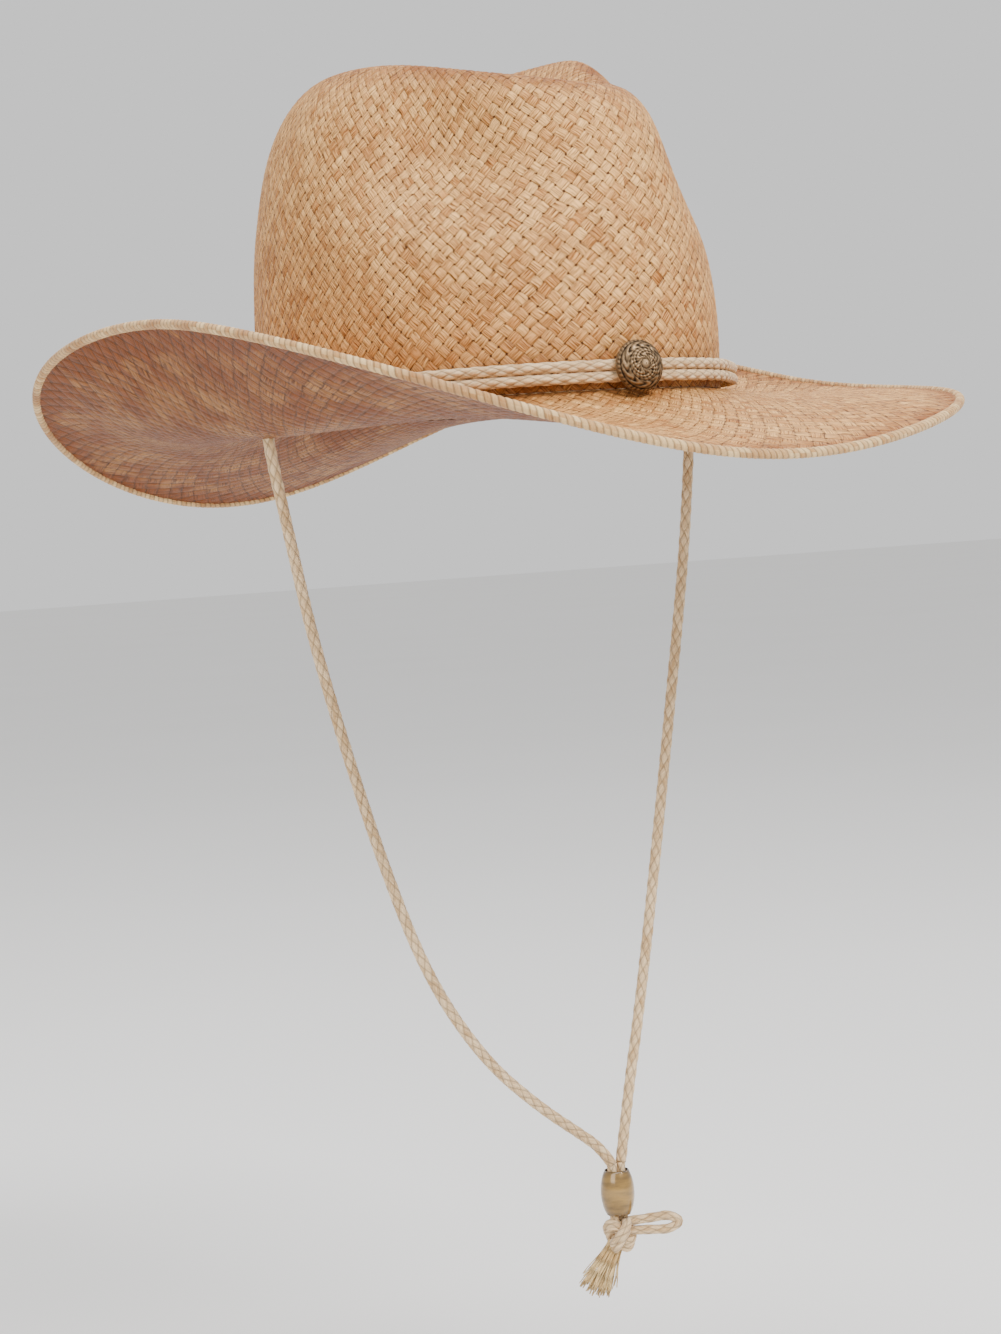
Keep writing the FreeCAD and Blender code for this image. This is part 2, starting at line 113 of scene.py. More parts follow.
# The chin cord's two strands, from the stopper knot down to the bead, as in the part
RIGHT_STRAND = (
    (-102, 0, -2), (-101, 0, -14), (-96.3, -0.5, -40), (-88, -1, -86), (-76.5, -1.7, -131),
    (-62, -2.4, -181), (-45.5, -3, -225), (-22.5, -3.4, -259.5), (2, -3.7, -282),
    (22.5, -4, -297), (31.5, -4, -304), (36.3, -4, -311))
LEFT_STRAND = (
    (102, 0, 5.5), (101.6, 0, -9), (98.7, -0.3, -33), (93.3, -0.9, -68), (83.3, -1.6, -118),
    (73.3, -2.2, -167), (64.3, -2.8, -210), (55.3, -3.2, -251), (47.3, -3.7, -282),
    (41, -4, -311))


def linear(code):
    """An sRGB hex colour as linear red, green, blue and one."""
    values = [int(code[i:i + 2], 16) / 255 for i in (1, 3, 5)]
    return tuple(v / 12.92 if v <= 0.04045 else ((v + 0.055) / 1.055) ** 2.4 for v in values) + (1.0,)


# --- shapes shared by the straw pieces ------------------------------------------

def waves(terms, angle):
    return sum(c * np.cos(n * angle) + s * np.sin(n * angle) for n, c, s in terms)


def oval(length, width, angle):
    return 1 / np.hypot(2 * np.cos(angle) / length, 2 * np.sin(angle) / width)


def polar(radius, angle, z):
    return np.stack([radius * np.sin(angle), -radius * np.cos(angle), z + 0 * angle], -1)


def smooth(low, high, value):
    t = np.clip((value - low) / (high - low), 0.0, 1.0)
    return t * t * (3 - 2 * t)


def bell(value, middle, width):
    return np.exp(-((value - middle) / width) ** 2)


def ring_angles(count):
    return TURN * np.arange(count) / count


def crown_net(columns=48):
    angle = ring_angles(columns)
    top = waves(CROWN_TOP, angle)
    front = ((1 + np.cos(angle - FRONT_TURN)) / 2) ** 4
    back = ((1 - np.cos(angle)) / 2) ** 3
    height = CROWN_HEIGHT - FRONT_DROP * front - BACK_DROP * back + SIDE_LEAN * np.sin(angle)
    base = oval(CROWN_LENGTH, CROWN_WIDTH, angle)
    rows = []
    for share, inward in WALL_ROWS:
        dent = 0
        for middle, depth, spread in DENTS:
            off = (np.degrees(angle) - middle + 180) % 360 - 180
            dent = dent + depth * bell(off, 0, spread) * bell(share, DENT_HEIGHT, DENT_REACH)
        rows.append(polar(base + (top - base) * inward - dent, angle, share * height))
    for reach, depth in TOP_ROWS:
        rows.append(polar(top * reach, angle, BOWL_FLOOR + (height - BOWL_FLOOR) * depth))
    rows.append(polar(0 * angle, angle, BOWL_FLOOR))
    return np.array(rows)


def brim_height(share, angle):
    edge = waves(BRIM_LIFT, angle)
    power = EDGE_CURL_DOWN + (EDGE_CURL_UP - EDGE_CURL_DOWN) * smooth(-15, 30, edge)
    sink = BRIM_VALLEY * ((1 - np.sin(angle)) / 2) ** 1.5 + LEFT_VALLEY * np.sin(angle) ** 2
    return edge * share**power - sink * VALLEY_SHARE * share * (1 - share) ** 2


def brim_net(columns=64):
    angle = ring_angles(columns)
    base = oval(CROWN_LENGTH, CROWN_WIDTH, angle)
    reach = waves(BRIM_REACH, angle)
    rows = [polar(base - STRAW, angle, 0 * angle)]
    for share in BRIM_ROWS:
        rows.append(polar(base + (reach - base) * share, angle, brim_height(share, angle)))
    return np.array(rows)


def ring_basis(count, samples):
    """How much each control point of a smooth ring weighs at each sample."""
    weights = np.zeros((samples, count))
    for k in range(samples):
        whole, f = divmod(k * count / samples, 1)
        cubic = ((1 - f) ** 3, 3 * f**3 - 6 * f**2 + 4, -3 * f**3 + 3 * f**2 + 3 * f + 1, f**3)
        for step, weight in enumerate(cubic):
            weights[k, (int(whole) + step - 1) % count] += weight / 6
    return weights


def row_basis(count, places):
    """The same for an open row of control points that starts and ends on its own ends."""
    last = count - 3
    knots = np.array([0] * 3 + list(range(last + 1)) + [last] * 3, float)
    places = np.asarray(places)
    weights = np.zeros((len(places), len(knots) - 1))
    for k, t in enumerate(places):
        weights[k, 3 + min(int(t), last - 1)] = 1
    for degree in (1, 2, 3):
        new = np.zeros((len(places), len(knots) - 1 - degree))
        for i in range(new.shape[1]):
            for start, end, old in ((i, i + degree, i), (i + degree + 1, i + 1, i + 1)):
                span = knots[end] - knots[start]
                if span:
                    new[:, i] += (places - knots[start]) / span * weights[:, old]
        weights = new
    return weights


def even_places(net, step):
    """Places along the rows, about one step apart on the middle of the surface."""
    tries = np.linspace(0, net.shape[0] - 3, 300)
    line = np.einsum("ij,jkl->ikl", row_basis(net.shape[0], tries), net)
    runs = np.linalg.norm(np.diff(line, axis=0), axis=2).max(axis=1)
    along = np.concatenate([[0], np.cumsum(runs)])
    return np.interp(np.linspace(0, along[-1], max(int(along[-1] / step), 2) + 1), along, tries)


def surface(net, places, columns):
    rows = np.einsum("ij,jkl->ikl", row_basis(net.shape[0], places), net)
    return np.einsum("mj,ijl->iml", ring_basis(net.shape[1], columns), rows)


def grid_normals(points):
    """Outward normals of a grid whose columns close into a ring."""
    around = np.roll(points, -1, axis=1) - np.roll(points, 1, axis=1)
    along = np.gradient(points, axis=0)
    normal = np.cross(around, along)
    length = np.linalg.norm(normal, axis=2, keepdims=True)
    return np.where(length > 1e-9, normal / np.maximum(length, 1e-9), (0, 0, 1))


def weave_height(p, q):
    """Height, 0 to 1, of flat strips numbered p and q that pass over and under each other."""
    whole_p, whole_q = np.floor(p), np.floor(q)
    over = (whole_p + whole_q) % 2 < 1
    across = abs(np.where(over, p, q) % 1 * 2 - 1)
    along_p, along_q = abs((whole_p + q) % 2 * 2 - 1), abs((whole_q + p) % 2 * 2 - 3)
    along = np.clip(np.where(over, along_p, along_q), 0, 1)
    return (1 - across**4) * (0.35 + 0.65 * (1 - along**2))


def grid_faces(rows, columns, first=0, outward=True):
    """Quads of a grid of points whose columns close into a ring."""
    faces = []
    for i in range(rows - 1):
        low, high = first + i * columns, first + (i + 1) * columns
        for j in range(columns):
            k = (j + 1) % columns
            quad = (low + j, low + k, high + k, high + j)
            faces.append(quad if outward else quad[::-1])
    return faces


def ring_gap(a, b, columns, outward=True):
    """Quads between two rings that start at points a and b."""
    quads = [(a + j, a + (j + 1) % columns, b + (j + 1) % columns, b + j) for j in range(columns)]
    return quads if outward else [q[::-1] for q in quads]


def make_piece(name, points, faces, material, uv=None, marks=None):
    """A smooth mesh piece from points in millimetres, with its pattern map and marks."""
    mesh = bpy.data.meshes.new(name)
    mesh.from_pydata([tuple(p) for p in np.asarray(points) * MM], [], faces)
    mesh.update()
    if uv is not None:
        layer = mesh.uv_layers.new(name="weave")
        layer.data.foreach_set("uv", np.asarray(uv, np.float32).ravel())
    for mark, values in (marks or {}).items():
        attribute = mesh.attributes.new(mark, "FLOAT", "POINT")
        attribute.data.foreach_set("value", np.asarray(values, np.float32))
    mesh.shade_smooth()
    piece = bpy.data.objects.new(name, mesh)
    bpy.context.collection.objects.link(piece)
    mesh.materials.append(material)
    return piece


def quad_uv(faces, p, q, first, columns, cells):
    """Corner coordinates for a ring grid's quads, without a jump where the ring closes."""
    uv = []
    for face in faces:
        ps = [p[v - first] for v in face]
        qs = [q[v - first] for v in face]
        js = [(v - first) % columns for v in face]
        if max(js) == columns - 1 and min(js) == 0:
            ps = [a + (cells if j == 0 else 0) for a, j in zip(ps, js)]
            qs = [a + (cells if j == 0 else 0) for a, j in zip(qs, js)]
        uv.extend(zip(ps, qs))
    return uv


# --- materials -------------------------------------------------------------------

def add(tree, kind, feeds=None, output=0, **settings):
    """Adds a node, sets it up, feeds its inputs and returns one of its outputs."""
    node = tree.nodes.new("ShaderNode" + kind)
    for name, value in settings.items():
        setattr(node, name, value)
    for name, value in (feeds or {}).items():
        if isinstance(value, bpy.types.NodeSocket):
            tree.links.new(value, node.inputs[name])
        else:
            node.inputs[name].default_value = value
    return node.outputs[output] if node.outputs else node


def material_from(name, draw, *looks):
    """The material of that name, drawn once; draw returns the inputs of its surface."""
    material = bpy.data.materials.get(name)
    if not material:
        material = bpy.data.materials.new(name)
        material.use_nodes = True
        tree = material.node_tree
        tree.nodes.clear()
        shader = add(tree, "BsdfPrincipled", draw(tree, *looks))
        add(tree, "OutputMaterial", {"Surface": shader})
    return material


def strip_weave(tree, fibre, drift, waver=0.0):
    """The parts of an over-and-under weave drawn on the piece's map: height, tone, streaks, gaps.

    The map counts the strips each way. fibre and drift are the fibres' fineness across a strip and
    along it, and waver is how much the strips wander, in strips.
    """
    place = add(tree, "UVMap", uv_map="weave")
    if waver:
        sway = add(tree, "TexNoise", {"Vector": place, "Scale": 0.45, "Detail": 2.0}, "Color")
        sway = add(tree, "VectorMath", {0: sway, 1: (0.5, 0.5, 0.5)}, operation="SUBTRACT")
        sway = add(tree, "VectorMath", {0: sway, "Scale": waver}, operation="SCALE")
        place = add(tree, "VectorMath", {0: place, 1: sway}, operation="ADD")
    p = add(tree, "SeparateXYZ", {0: place})
    q = p.node.outputs[1]
    whole_p, whole_q = (add(tree, "Math", {0: part}, operation="FLOOR") for part in (p, q))
    part_p, part_q = (add(tree, "Math", {0: part}, operation="FRACT") for part in (p, q))
    total = add(tree, "Math", {0: whole_p, 1: whole_q}, operation="ADD")
    stage = add(tree, "Math", {0: total, 1: 2.0}, operation="FLOORED_MODULO")
    over = add(tree, "Math", {0: stage, 1: 0.5}, operation="LESS_THAN")
    across_p, across_q = (
        add(tree, "Math", {0: add(tree, "Math", {0: part, 1: 2.0, 2: -1.0}, operation="MULTIPLY_ADD")},
            operation="ABSOLUTE") for part in (part_p, part_q))
    across = add(tree, "Mix", {0: over, 2: across_q, 3: across_p})
    floats = []
    for whole, run, middle in ((whole_p, q, 0.5), (whole_q, p, 1.5)):
        spot = add(tree, "Math", {0: whole, 1: run}, operation="ADD")
        spot = add(tree, "Math", {0: spot, 1: 2.0}, operation="FLOORED_MODULO")
        spot = add(tree, "Math", {0: spot, 1: middle}, operation="SUBTRACT")
        spot = add(tree, "Math", {0: spot}, operation="ABSOLUTE")
        floats.append(add(tree, "Math", {0: spot, 1: 2.0}, operation="MULTIPLY"))
    along = add(tree, "Mix", {0: over, 2: floats[1], 3: floats[0]})
    side = add(tree, "Mix", {0: over, 2: part_q, 3: part_p})
    run = add(tree, "Mix", {0: over, 2: p, 3: q})
    strip = add(tree, "Mix", {0: over, 2: whole_q, 3: whole_p})
    # The strips that lie the other way get numbers of their own
    strip = add(tree, "Math", {0: over, 1: 517.0, 2: strip}, operation="MULTIPLY_ADD")
    edge = add(tree, "Math", {0: across, 1: 4.0}, operation="POWER")
    edge = add(tree, "Math", {0: 1.0, 1: edge}, operation="SUBTRACT")
    hump = add(tree, "Math", {0: along, 1: along}, operation="MULTIPLY")
    hump = add(tree, "Math", {0: hump, 1: -0.65, 2: 1.0}, operation="MULTIPLY_ADD")
    lie = add(tree, "CombineXYZ", {
        0: add(tree, "Math", {0: side, 1: fibre}, operation="MULTIPLY"),
        1: add(tree, "Math", {0: run, 1: drift}, operation="MULTIPLY"), 2: strip})
    both = add(tree, "Math", {0: across_p, 1: across_q}, operation="MULTIPLY")
    cell = add(tree, "CombineXYZ", {0: whole_p, 1: whole_q})
    return {
        "height": add(tree, "Math", {0: edge, 1: hump}, operation="MULTIPLY"),
        "tone": add(tree, "TexWhiteNoise", {"W": strip}, noise_dimensions="1D"),
        "spot": add(tree, "TexWhiteNoise", {"Vector": cell}, noise_dimensions="2D"),
        "streak": add(tree, "TexNoise", {"Vector": lie, "Scale": 1.0, "Detail": 3.0, "Roughness": 0.6}),
        "gap": add(tree, "MapRange", {"Value": across, "From Min": 0.8, "From Max": 1.0}),
        "hole": add(tree, "MapRange", {"Value": both, "From Min": 0.62, "From Max": 0.85}),
        "bend": add(tree, "MapRange", {"Value": along, "From Min": 0.7, "From Max": 1.0})}


def straw_looks(tree, settings):
    """Woven raffia straw: flat, dull strips, each its own tone, with fibres, toasted patches and
    painted shade in the weave's gaps, bends and holes and under the brim.
    """
    weave = strip_weave(tree, fibre=11.0, drift=0.5, waver=0.4)
    tone = add(tree, "Math", {0: weave["tone"], 1: 0.8, 2: weave["spot"]}, operation="MULTIPLY_ADD")
    tone = add(tree, "Math", {0: tone, 1: 0.4}, operation="MULTIPLY")
    tone = add(tree, "Math", {0: weave["streak"], 1: 2.6, 2: tone}, operation="MULTIPLY_ADD")
    tone = add(tree, "MapRange", {"Value": tone, "From Min": 1.05, "From Max": 2.15})
    colour = add(tree, "Mix", {0: tone, 6: settings.straw_dark, 7: settings.straw_light}, 2,
                 data_type="RGBA")
    cloud = add(tree, "TexNoise", {
        "Vector": add(tree, "TexCoord", None, "Object"), "Scale": 60.0, "Detail": 3.0,
        "Roughness": 0.65})
    stain = add(tree, "MapRange", {"Value": cloud, "From Min": 0.3, "From Max": 0.68, "To Min": 0.25})
    stain = add(tree, "Math", {0: add(tree, "Attribute", None, "Fac", attribute_name="stain"),
                               1: stain}, operation="MULTIPLY",
                use_clamp=True)
    patch = add(tree, "MapRange", {"Value": cloud, "From Min": 0.5, "From Max": 0.75, "To Max": 0.45})
    stain = add(tree, "Math", {0: stain, 1: patch}, operation="MAXIMUM")
    # The brim's underside gets a browner toast that is partly painted shade beneath the brim
    under = add(tree, "Attribute", None, "Fac", attribute_name="under")
    stain = add(tree, "Math", {0: under, 1: 0.3, 2: stain}, operation="MULTIPLY_ADD", use_clamp=True)
    colour = add(tree, "Mix", {0: stain, 6: colour, 7: settings.stain}, 2, data_type="RGBA")
    # Painted shade in the holes at some of the strip corners
    hole = add(tree, "Math", {0: weave["spot"], 1: 1.3, 2: -0.1}, operation="MULTIPLY_ADD",
               use_clamp=True)
    hole = add(tree, "Math", {0: weave["hole"], 1: hole}, operation="MULTIPLY")
    # Dark fibre lines, with painted shade added in the gaps between strips, where a strip bends under
    # the next, on the brim's underside and in the holes
    darkening_with_painted_shade = add(tree, "MapRange", {"Value": weave["streak"], "From Min": 0.36, "From Max": 0.52,
                                  "To Min": 0.75, "To Max": 0.0})
    for part, share in ((weave["gap"], 0.28), (weave["bend"], 0.26), (under, 0.3)):
        darkening_with_painted_shade = add(tree, "Math", {0: part, 1: share, 2: darkening_with_painted_shade}, operation="MULTIPLY_ADD")
    darkening_with_painted_shade = add(tree, "Math", {0: hole, 1: 1.2, 2: darkening_with_painted_shade}, operation="MULTIPLY_ADD", use_clamp=True)
    colour = add(tree, "Mix", {0: darkening_with_painted_shade, 6: colour, 7: linear(SHADOW_BROWN)}, 2, data_type="RGBA")
    height = add(tree, "Math", {0: weave["streak"], 1: 0.8, 2: weave["height"]},
                 operation="MULTIPLY_ADD")
    bump = add(tree, "Bump", {"Height": height, "Strength": 0.7, "Distance": settings.relief})
    return {"Base Color": colour, "Roughness": 0.48, "Normal": bump, "Specular IOR Level": 0.2}


def twist_looks(tree, light, dark, patch_colour=None):
    """Loose twisted fibres: dull, with fine streaks along the strands and shade between them."""
    p = add(tree, "SeparateXYZ", {0: add(tree, "UVMap", uv_map="weave")})
    q = p.node.outputs[1]
    across = add(tree, "Math", {0: p}, operation="FRACT")
    strand = add(tree, "Math", {0: p}, operation="FLOOR")
    off = add(tree, "Math", {0: across, 1: 2.0, 2: -1.0}, operation="MULTIPLY_ADD")
    off = add(tree, "Math", {0: off}, operation="ABSOLUTE")
    valley = add(tree, "MapRange", {"Value": off, "From Min": 0.55, "From Max": 1.0})
    lie = add(tree, "CombineXYZ", {
        0: add(tree, "Math", {0: across, 1: 9.0}, operation="MULTIPLY"),
        1: add(tree, "Math", {0: q, 1: 1.5}, operation="MULTIPLY"), 2: strand})
    streak = add(tree, "TexNoise", {"Vector": lie, "Scale": 1.0, "Detail": 3.0, "Roughness": 0.65})
    tone = add(tree, "TexWhiteNoise", {"W": strand}, noise_dimensions="1D")
    tone = add(tree, "Math", {0: tone, 1: 0.5, 2: streak}, operation="MULTIPLY_ADD")
    tone = add(tree, "MapRange", {"Value": tone, "From Min": 0.35, "From Max": 1.1})
    colour = add(tree, "Mix", {0: tone, 6: dark, 7: light}, 2, data_type="RGBA")
    if patch_colour:
        cloud = add(tree, "TexNoise", {"Vector": add(tree, "TexCoord", None, "Object"),
                                       "Scale": 45.0, "Detail": 3.0})
        patch = add(tree, "MapRange", {
            "Value": cloud, "From Min": 0.48, "From Max": 0.72, "To Max": 0.7})
        colour = add(tree, "Mix", {0: patch, 6: colour, 7: patch_colour}, 2, data_type="RGBA")
    darkening_with_painted_shade = add(tree, "Math", {0: valley, 1: 0.6}, operation="MULTIPLY")
    colour = add(tree, "Mix", {0: darkening_with_painted_shade, 6: colour, 7: linear("#4B351F")}, 2, data_type="RGBA")
    height = add(tree, "Math", {0: valley, 1: -0.8, 2: streak}, operation="MULTIPLY_ADD")
    bump = add(tree, "Bump", {"Height": height, "Strength": 0.7, "Distance": 0.0004})
    return {"Base Color": colour, "Roughness": 0.75, "Normal": bump, "Specular IOR Level": 0.25,
            "Sheen Weight": 0.15, "Sheen Roughness": 0.5}


def cord_looks(tree, light, dark):
    """Braided cotton: dull, soft plies that cross, each with fine fibres and shade between them."""
    weave = strip_weave(tree, fibre=6.0, drift=1.0)
    tone = add(tree, "Math", {0: weave["tone"], 1: 0.3, 2: weave["streak"]}, operation="MULTIPLY_ADD")
    tone = add(tree, "MapRange", {"Value": tone, "From Min": 0.35, "From Max": 0.9})
    colour = add(tree, "Mix", {0: tone, 6: dark, 7: light}, 2, data_type="RGBA")
    darkening_with_painted_shade = add(tree, "Math", {0: weave["height"], 1: -0.9, 2: 0.62}, operation="MULTIPLY_ADD",
               use_clamp=True)
    colour = add(tree, "Mix", {0: darkening_with_painted_shade, 6: colour, 7: linear("#5A4026")}, 2, data_type="RGBA")
    height = add(tree, "Math", {0: weave["streak"], 1: 0.3, 2: weave["height"]},
                 operation="MULTIPLY_ADD")
    bump = add(tree, "Bump", {"Height": height, "Strength": 0.8, "Distance": 0.0005})
    return {"Base Color": colour, "Roughness": 0.85, "Normal": bump, "Specular IOR Level": 0.2,
            "Sheen Weight": 0.25, "Sheen Roughness": 0.5}


def cloth_looks(tree, light, dark):
    """Cotton twill: matt and a little fuzzy, with fine diagonal ribs."""
    rib_mm = 0.7
    place = add(tree, "UVMap", uv_map="weave")  # in millimetres
    rib = add(tree, "TexWave", {"Vector": place, "Scale": 0.314 / rib_mm, "Distortion": 0.6,
                                "Detail": 2.0, "Detail Scale": 2.0}, bands_direction="DIAGONAL")
    grain = add(tree, "TexNoise", {"Vector": place, "Scale": 0.5, "Detail": 4.0})
    tone = add(tree, "Math", {0: rib, 1: 0.5, 2: grain}, operation="MULTIPLY_ADD")
    tone = add(tree, "MapRange", {"Value": tone, "From Min": 0.3, "From Max": 1.1})
    bump = add(tree, "Bump", {"Height": rib, "Strength": 0.5, "Distance": 0.0002})
    return {"Base Color": add(tree, "Mix", {0: tone, 6: dark, 7: light}, 2, data_type="RGBA"),
            "Roughness": 0.9, "Normal": bump,
            "Specular IOR Level": 0.2, "Sheen Weight": 0.3, "Sheen Roughness": 0.5}


def brass_looks(tree, bright, dark, depth):
    """Antique plated brass: worn bright on the high parts and nearly black in the hollows."""
    grain = add(tree, "TexNoise", {
        "Vector": add(tree, "TexCoord", None, "Object"), "Scale": 900.0, "Detail": 4.0,
        "Roughness": 0.6})
    wear = add(tree, "Math", {0: grain, 1: 0.7, 2: -0.2}, operation="MULTIPLY_ADD")
    wear = add(tree, "Math", {0: add(tree, "Attribute", None, "Fac", attribute_name="hollow"),
                              1: depth, 2: wear},
               operation="MULTIPLY_ADD", use_clamp=True)
    rough = add(tree, "Math", {0: wear, 1: 0.35, 2: 0.36}, operation="MULTIPLY_ADD")
    bump = add(tree, "Bump", {"Height": grain, "Strength": 0.15, "Distance": 0.0002})
    return {"Base Color": add(tree, "Mix", {0: wear, 6: bright, 7: dark}, 2, data_type="RGBA"),
            "Metallic": 0.92, "Roughness": rough,
            "Normal": bump}


def bead_looks(tree):
    """Brass under clear gloss lacquer: mottled gold and brown, with a painted dark reflection towards
    the ends.
    """
    stretch = add(tree, "VectorMath", {0: add(tree, "TexCoord", None, "Object"), 1: (0.3, 0.3, 1.3)},
                  operation="MULTIPLY")
    cloud = add(tree, "TexNoise", {"Vector": stretch, "Scale": 330.0, "Detail": 4.0, "Roughness": 0.6})
    # On the bead the hollow mark runs from 0 at its middle to 1 at its ends: painted dark reflection
    # towards the ends
    ends = add(tree, "Math", {0: add(tree, "Attribute", None, "Fac", attribute_name="hollow"),
                              1: 3.0}, operation="POWER")
    tone = add(tree, "Math", {0: cloud, 1: 1.5, 2: -0.5}, operation="MULTIPLY_ADD")
    tone = add(tree, "Math", {0: ends, 1: 0.6, 2: tone}, operation="MULTIPLY_ADD", use_clamp=True)
    bump = add(tree, "Bump", {"Height": cloud, "Strength": 0.1, "Distance": 0.0002})
    return {"Base Color": add(tree, "Mix", {0: tone, 6: linear("#A5803A"), 7: linear("#3E2810")},
                              2, data_type="RGBA"), "Metallic": 0.35,
            "Roughness": 0.28, "Normal": bump, "Coat Weight": 1.0, "Coat Roughness": 0.04}


def steel_looks(tree):
    """Plain drawn wire, with fine lines that blur its shine."""
    lines = add(tree, "TexNoise", {"Vector": add(tree, "TexCoord", None, "Object"), "Scale": 700.0,
                                   "Detail": 2.0})
    rough = add(tree, "MapRange", {"Value": lines, "To Min": 0.25, "To Max": 0.5})
    return {"Base Color": linear("#B9BABC"), "Metallic": 1.0, "Roughness": rough}


def thread_looks(tree):
    """Waxed cotton thread, with painted shade between its plies."""
    ply = add(tree, "TexNoise", {"Vector": add(tree, "TexCoord", None, "Object"), "Scale": 1800.0,
                                 "Detail": 2.0})
    bump = add(tree, "Bump", {"Height": ply, "Strength": 0.4, "Distance": 0.0002})
    return {"Base Color": add(tree, "Mix", {0: ply, 6: linear("#9A7B4E"), 7: linear("#DCC08E")}, 2,
                              data_type="RGBA"), "Roughness": 0.7,
            "Normal": bump}


def floor_looks(tree):
    """Matt pale studio floor with a trace of unevenness."""
    cloud = add(tree, "TexNoise", {"Vector": add(tree, "TexCoord", None, "Object"), "Scale": 2.0})
    return {"Base Color": add(tree, "Mix", {0: cloud, 6: linear("#ECEBE9"), 7: linear("#F0EFEE")},
                              2, data_type="RGBA"), "Roughness": 0.9}


# --- cords and knots ---------------------------------------------------------------

def spline_points(points):
    """Points along the smooth spline that the control points (millimetres) draw."""
    data = bpy.data.curves.new("route", "CURVE")
    data.dimensions = "3D"
    data.resolution_u = 12
    spline = data.splines.new("NURBS")
    spline.points.add(len(points) - 1)
    for point, place in zip(spline.points, points):
        point.co = (*[v * MM for v in place], 1.0)
    spline.order_u = 3
    spline.use_endpoint_u = True
    carrier = bpy.data.objects.new("route", data)
    bpy.context.collection.objects.link(carrier)
    mesh = bpy.data.meshes.new_from_object(carrier)
    line = np.array([tuple(v.co) for v in mesh.vertices])
    bpy.data.objects.remove(carrier)
    bpy.data.meshes.remove(mesh)
    return line / MM


def even_line(line, step, closed=False):
    """The line again, with its points one step apart."""
    if closed:
        line = np.vstack([line, line[:1]])
    runs = np.linalg.norm(np.diff(line, axis=0), axis=1)
    along = np.concatenate([[0], np.cumsum(runs)])
    count = max(int(round(along[-1] / step)), 4)
    marks = np.linspace(0, along[-1], count + 1)
    even = np.stack([np.interp(marks, along, line[:, k]) for k in range(3)], -1)
    return even[:-1] if closed else even


def tube_mesh(line, radius, sides, closed=False, relief=0.0, plies=4, pitch=13.0):
    """A braided tube: its points, faces, and the braid's two coordinates at each corner."""
    count = len(line)
    tangent = np.gradient(line, axis=0)
    if closed:
        tangent = np.roll(line, -1, axis=0) - np.roll(line, 1, axis=0)
    tangent /= np.linalg.norm(tangent, axis=1, keepdims=True)
    side = np.cross(tangent[0], (0, 0, 1.0))
    if np.linalg.norm(side) < 0.1:
        side = np.cross(tangent[0], (0, 1.0, 0))
    runs = np.linalg.norm(np.diff(line, axis=0), axis=1)
    along = np.concatenate([[0], np.cumsum(runs)])
    whole = along[-1] + (np.linalg.norm(line[0] - line[-1]) if closed else 0)
    if closed:
        pitch = whole / max(round(whole / pitch), 1)
    radius = np.broadcast_to(radius, count)
    turn = ring_angles(sides)
    lay = plies * turn / TURN
    points, p, q = [], [], []
    for i in range(count):
        if closed:
            side = np.cross(tangent[i], (0, 0, 1.0))
        side = side - tangent[i] * side.dot(tangent[i])
        side /= np.linalg.norm(side)
        up = np.cross(side, tangent[i])
        ahead = along[i] / pitch * plies / 2
        p.append(lay + ahead)
        q.append(lay - ahead)
        r = radius[i] * (1 - relief + relief * weave_height(p[i], q[i]))
        points.append(line[i] + np.outer(r * np.cos(turn), side) + np.outer(r * np.sin(turn), up))
    points = np.concatenate(points)
    faces, uv = [], []
    for i in range(count if closed else count - 1):
        nxt = (i + 1) % count
        jump = plies / 2 * whole / pitch if closed and nxt == 0 else 0
        for j in range(sides):
            k = (j + 1) % sides
            wrap = plies if k == 0 else 0
            faces.append((i * sides + j, nxt * sides + j, nxt * sides + k, i * sides + k))
            uv.extend([(p[i][j], q[i][j]), (p[nxt][j] + jump, q[nxt][j] - jump),
                       (p[nxt][k] + jump + wrap, q[nxt][k] - jump + wrap),
                       (p[i][k] + wrap, q[i][k] + wrap)])
    if not closed:
        points = np.vstack([points, line[:1], line[-1:]])
        first, last = len(points) - 2, len(points) - 1
        base = (count - 1) * sides
        for j in range(sides):
            k = (j + 1) % sides
            faces.extend([(first, j, k), (last, base + k, base + j)])
            uv.extend([(0.5, 0.5)] * 6)
    return points, faces, uv


def join_tubes(tubes):
    points, faces, uv = [], [], []
    for tube_points, tube_faces, tube_uv in tubes:
        start = sum(len(p) for p in points)
        points.append(tube_points)
        faces.extend(tuple(v + start for v in face) for face in tube_faces)
        uv.extend(tube_uv)
    return np.concatenate(points), faces, uv


def knot_tube(centre, width, height):
    """A tight knot: a cord that winds three times over and under itself."""
    t = np.linspace(0, TURN, 90, endpoint=False)
    reach = (width - CORD) / 2 * (0.62 + 0.38 * np.cos(3 * t))
    line = np.stack([reach * np.cos(2 * t), reach * np.sin(2 * t),
                     (height - CORD) / 2 * np.sin(3 * t)], -1) + np.array(centre)
    return tube_mesh(even_line(line, KNOT_STEP, closed=True), CORD / 2, 18, closed=True,
                     relief=KNOT_RELIEF)


def outward(piece):
    """Turns the piece's faces outwards."""
    bpy.ops.object.select_all(action="DESELECT")
    piece.select_set(True)
    bpy.context.view_layer.objects.active = piece
    bpy.ops.object.mode_set(mode="EDIT")
    bpy.ops.mesh.select_all(action="SELECT")
    bpy.ops.mesh.normals_make_consistent(inside=False)
    bpy.ops.object.mode_set(mode="OBJECT")


def fit_out(piece, body, node):
    """The piece rides on a body, if it is named, and stands for a node, whose part is hidden."""
    if body:
        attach(piece, body)
    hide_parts(node)
    return piece


def tube_piece(name, shape, material, body, node):
    """A piece made of a tube or of several, with its faces turned outwards."""
    piece = make_piece(name, shape[0], shape[1], material, shape[2])
    outward(piece)
    return fit_out(piece, body, node)


def node_box(node):
    """Lowest and highest corner of a node, in millimetres."""
    return [np.array(corner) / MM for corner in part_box(node)]


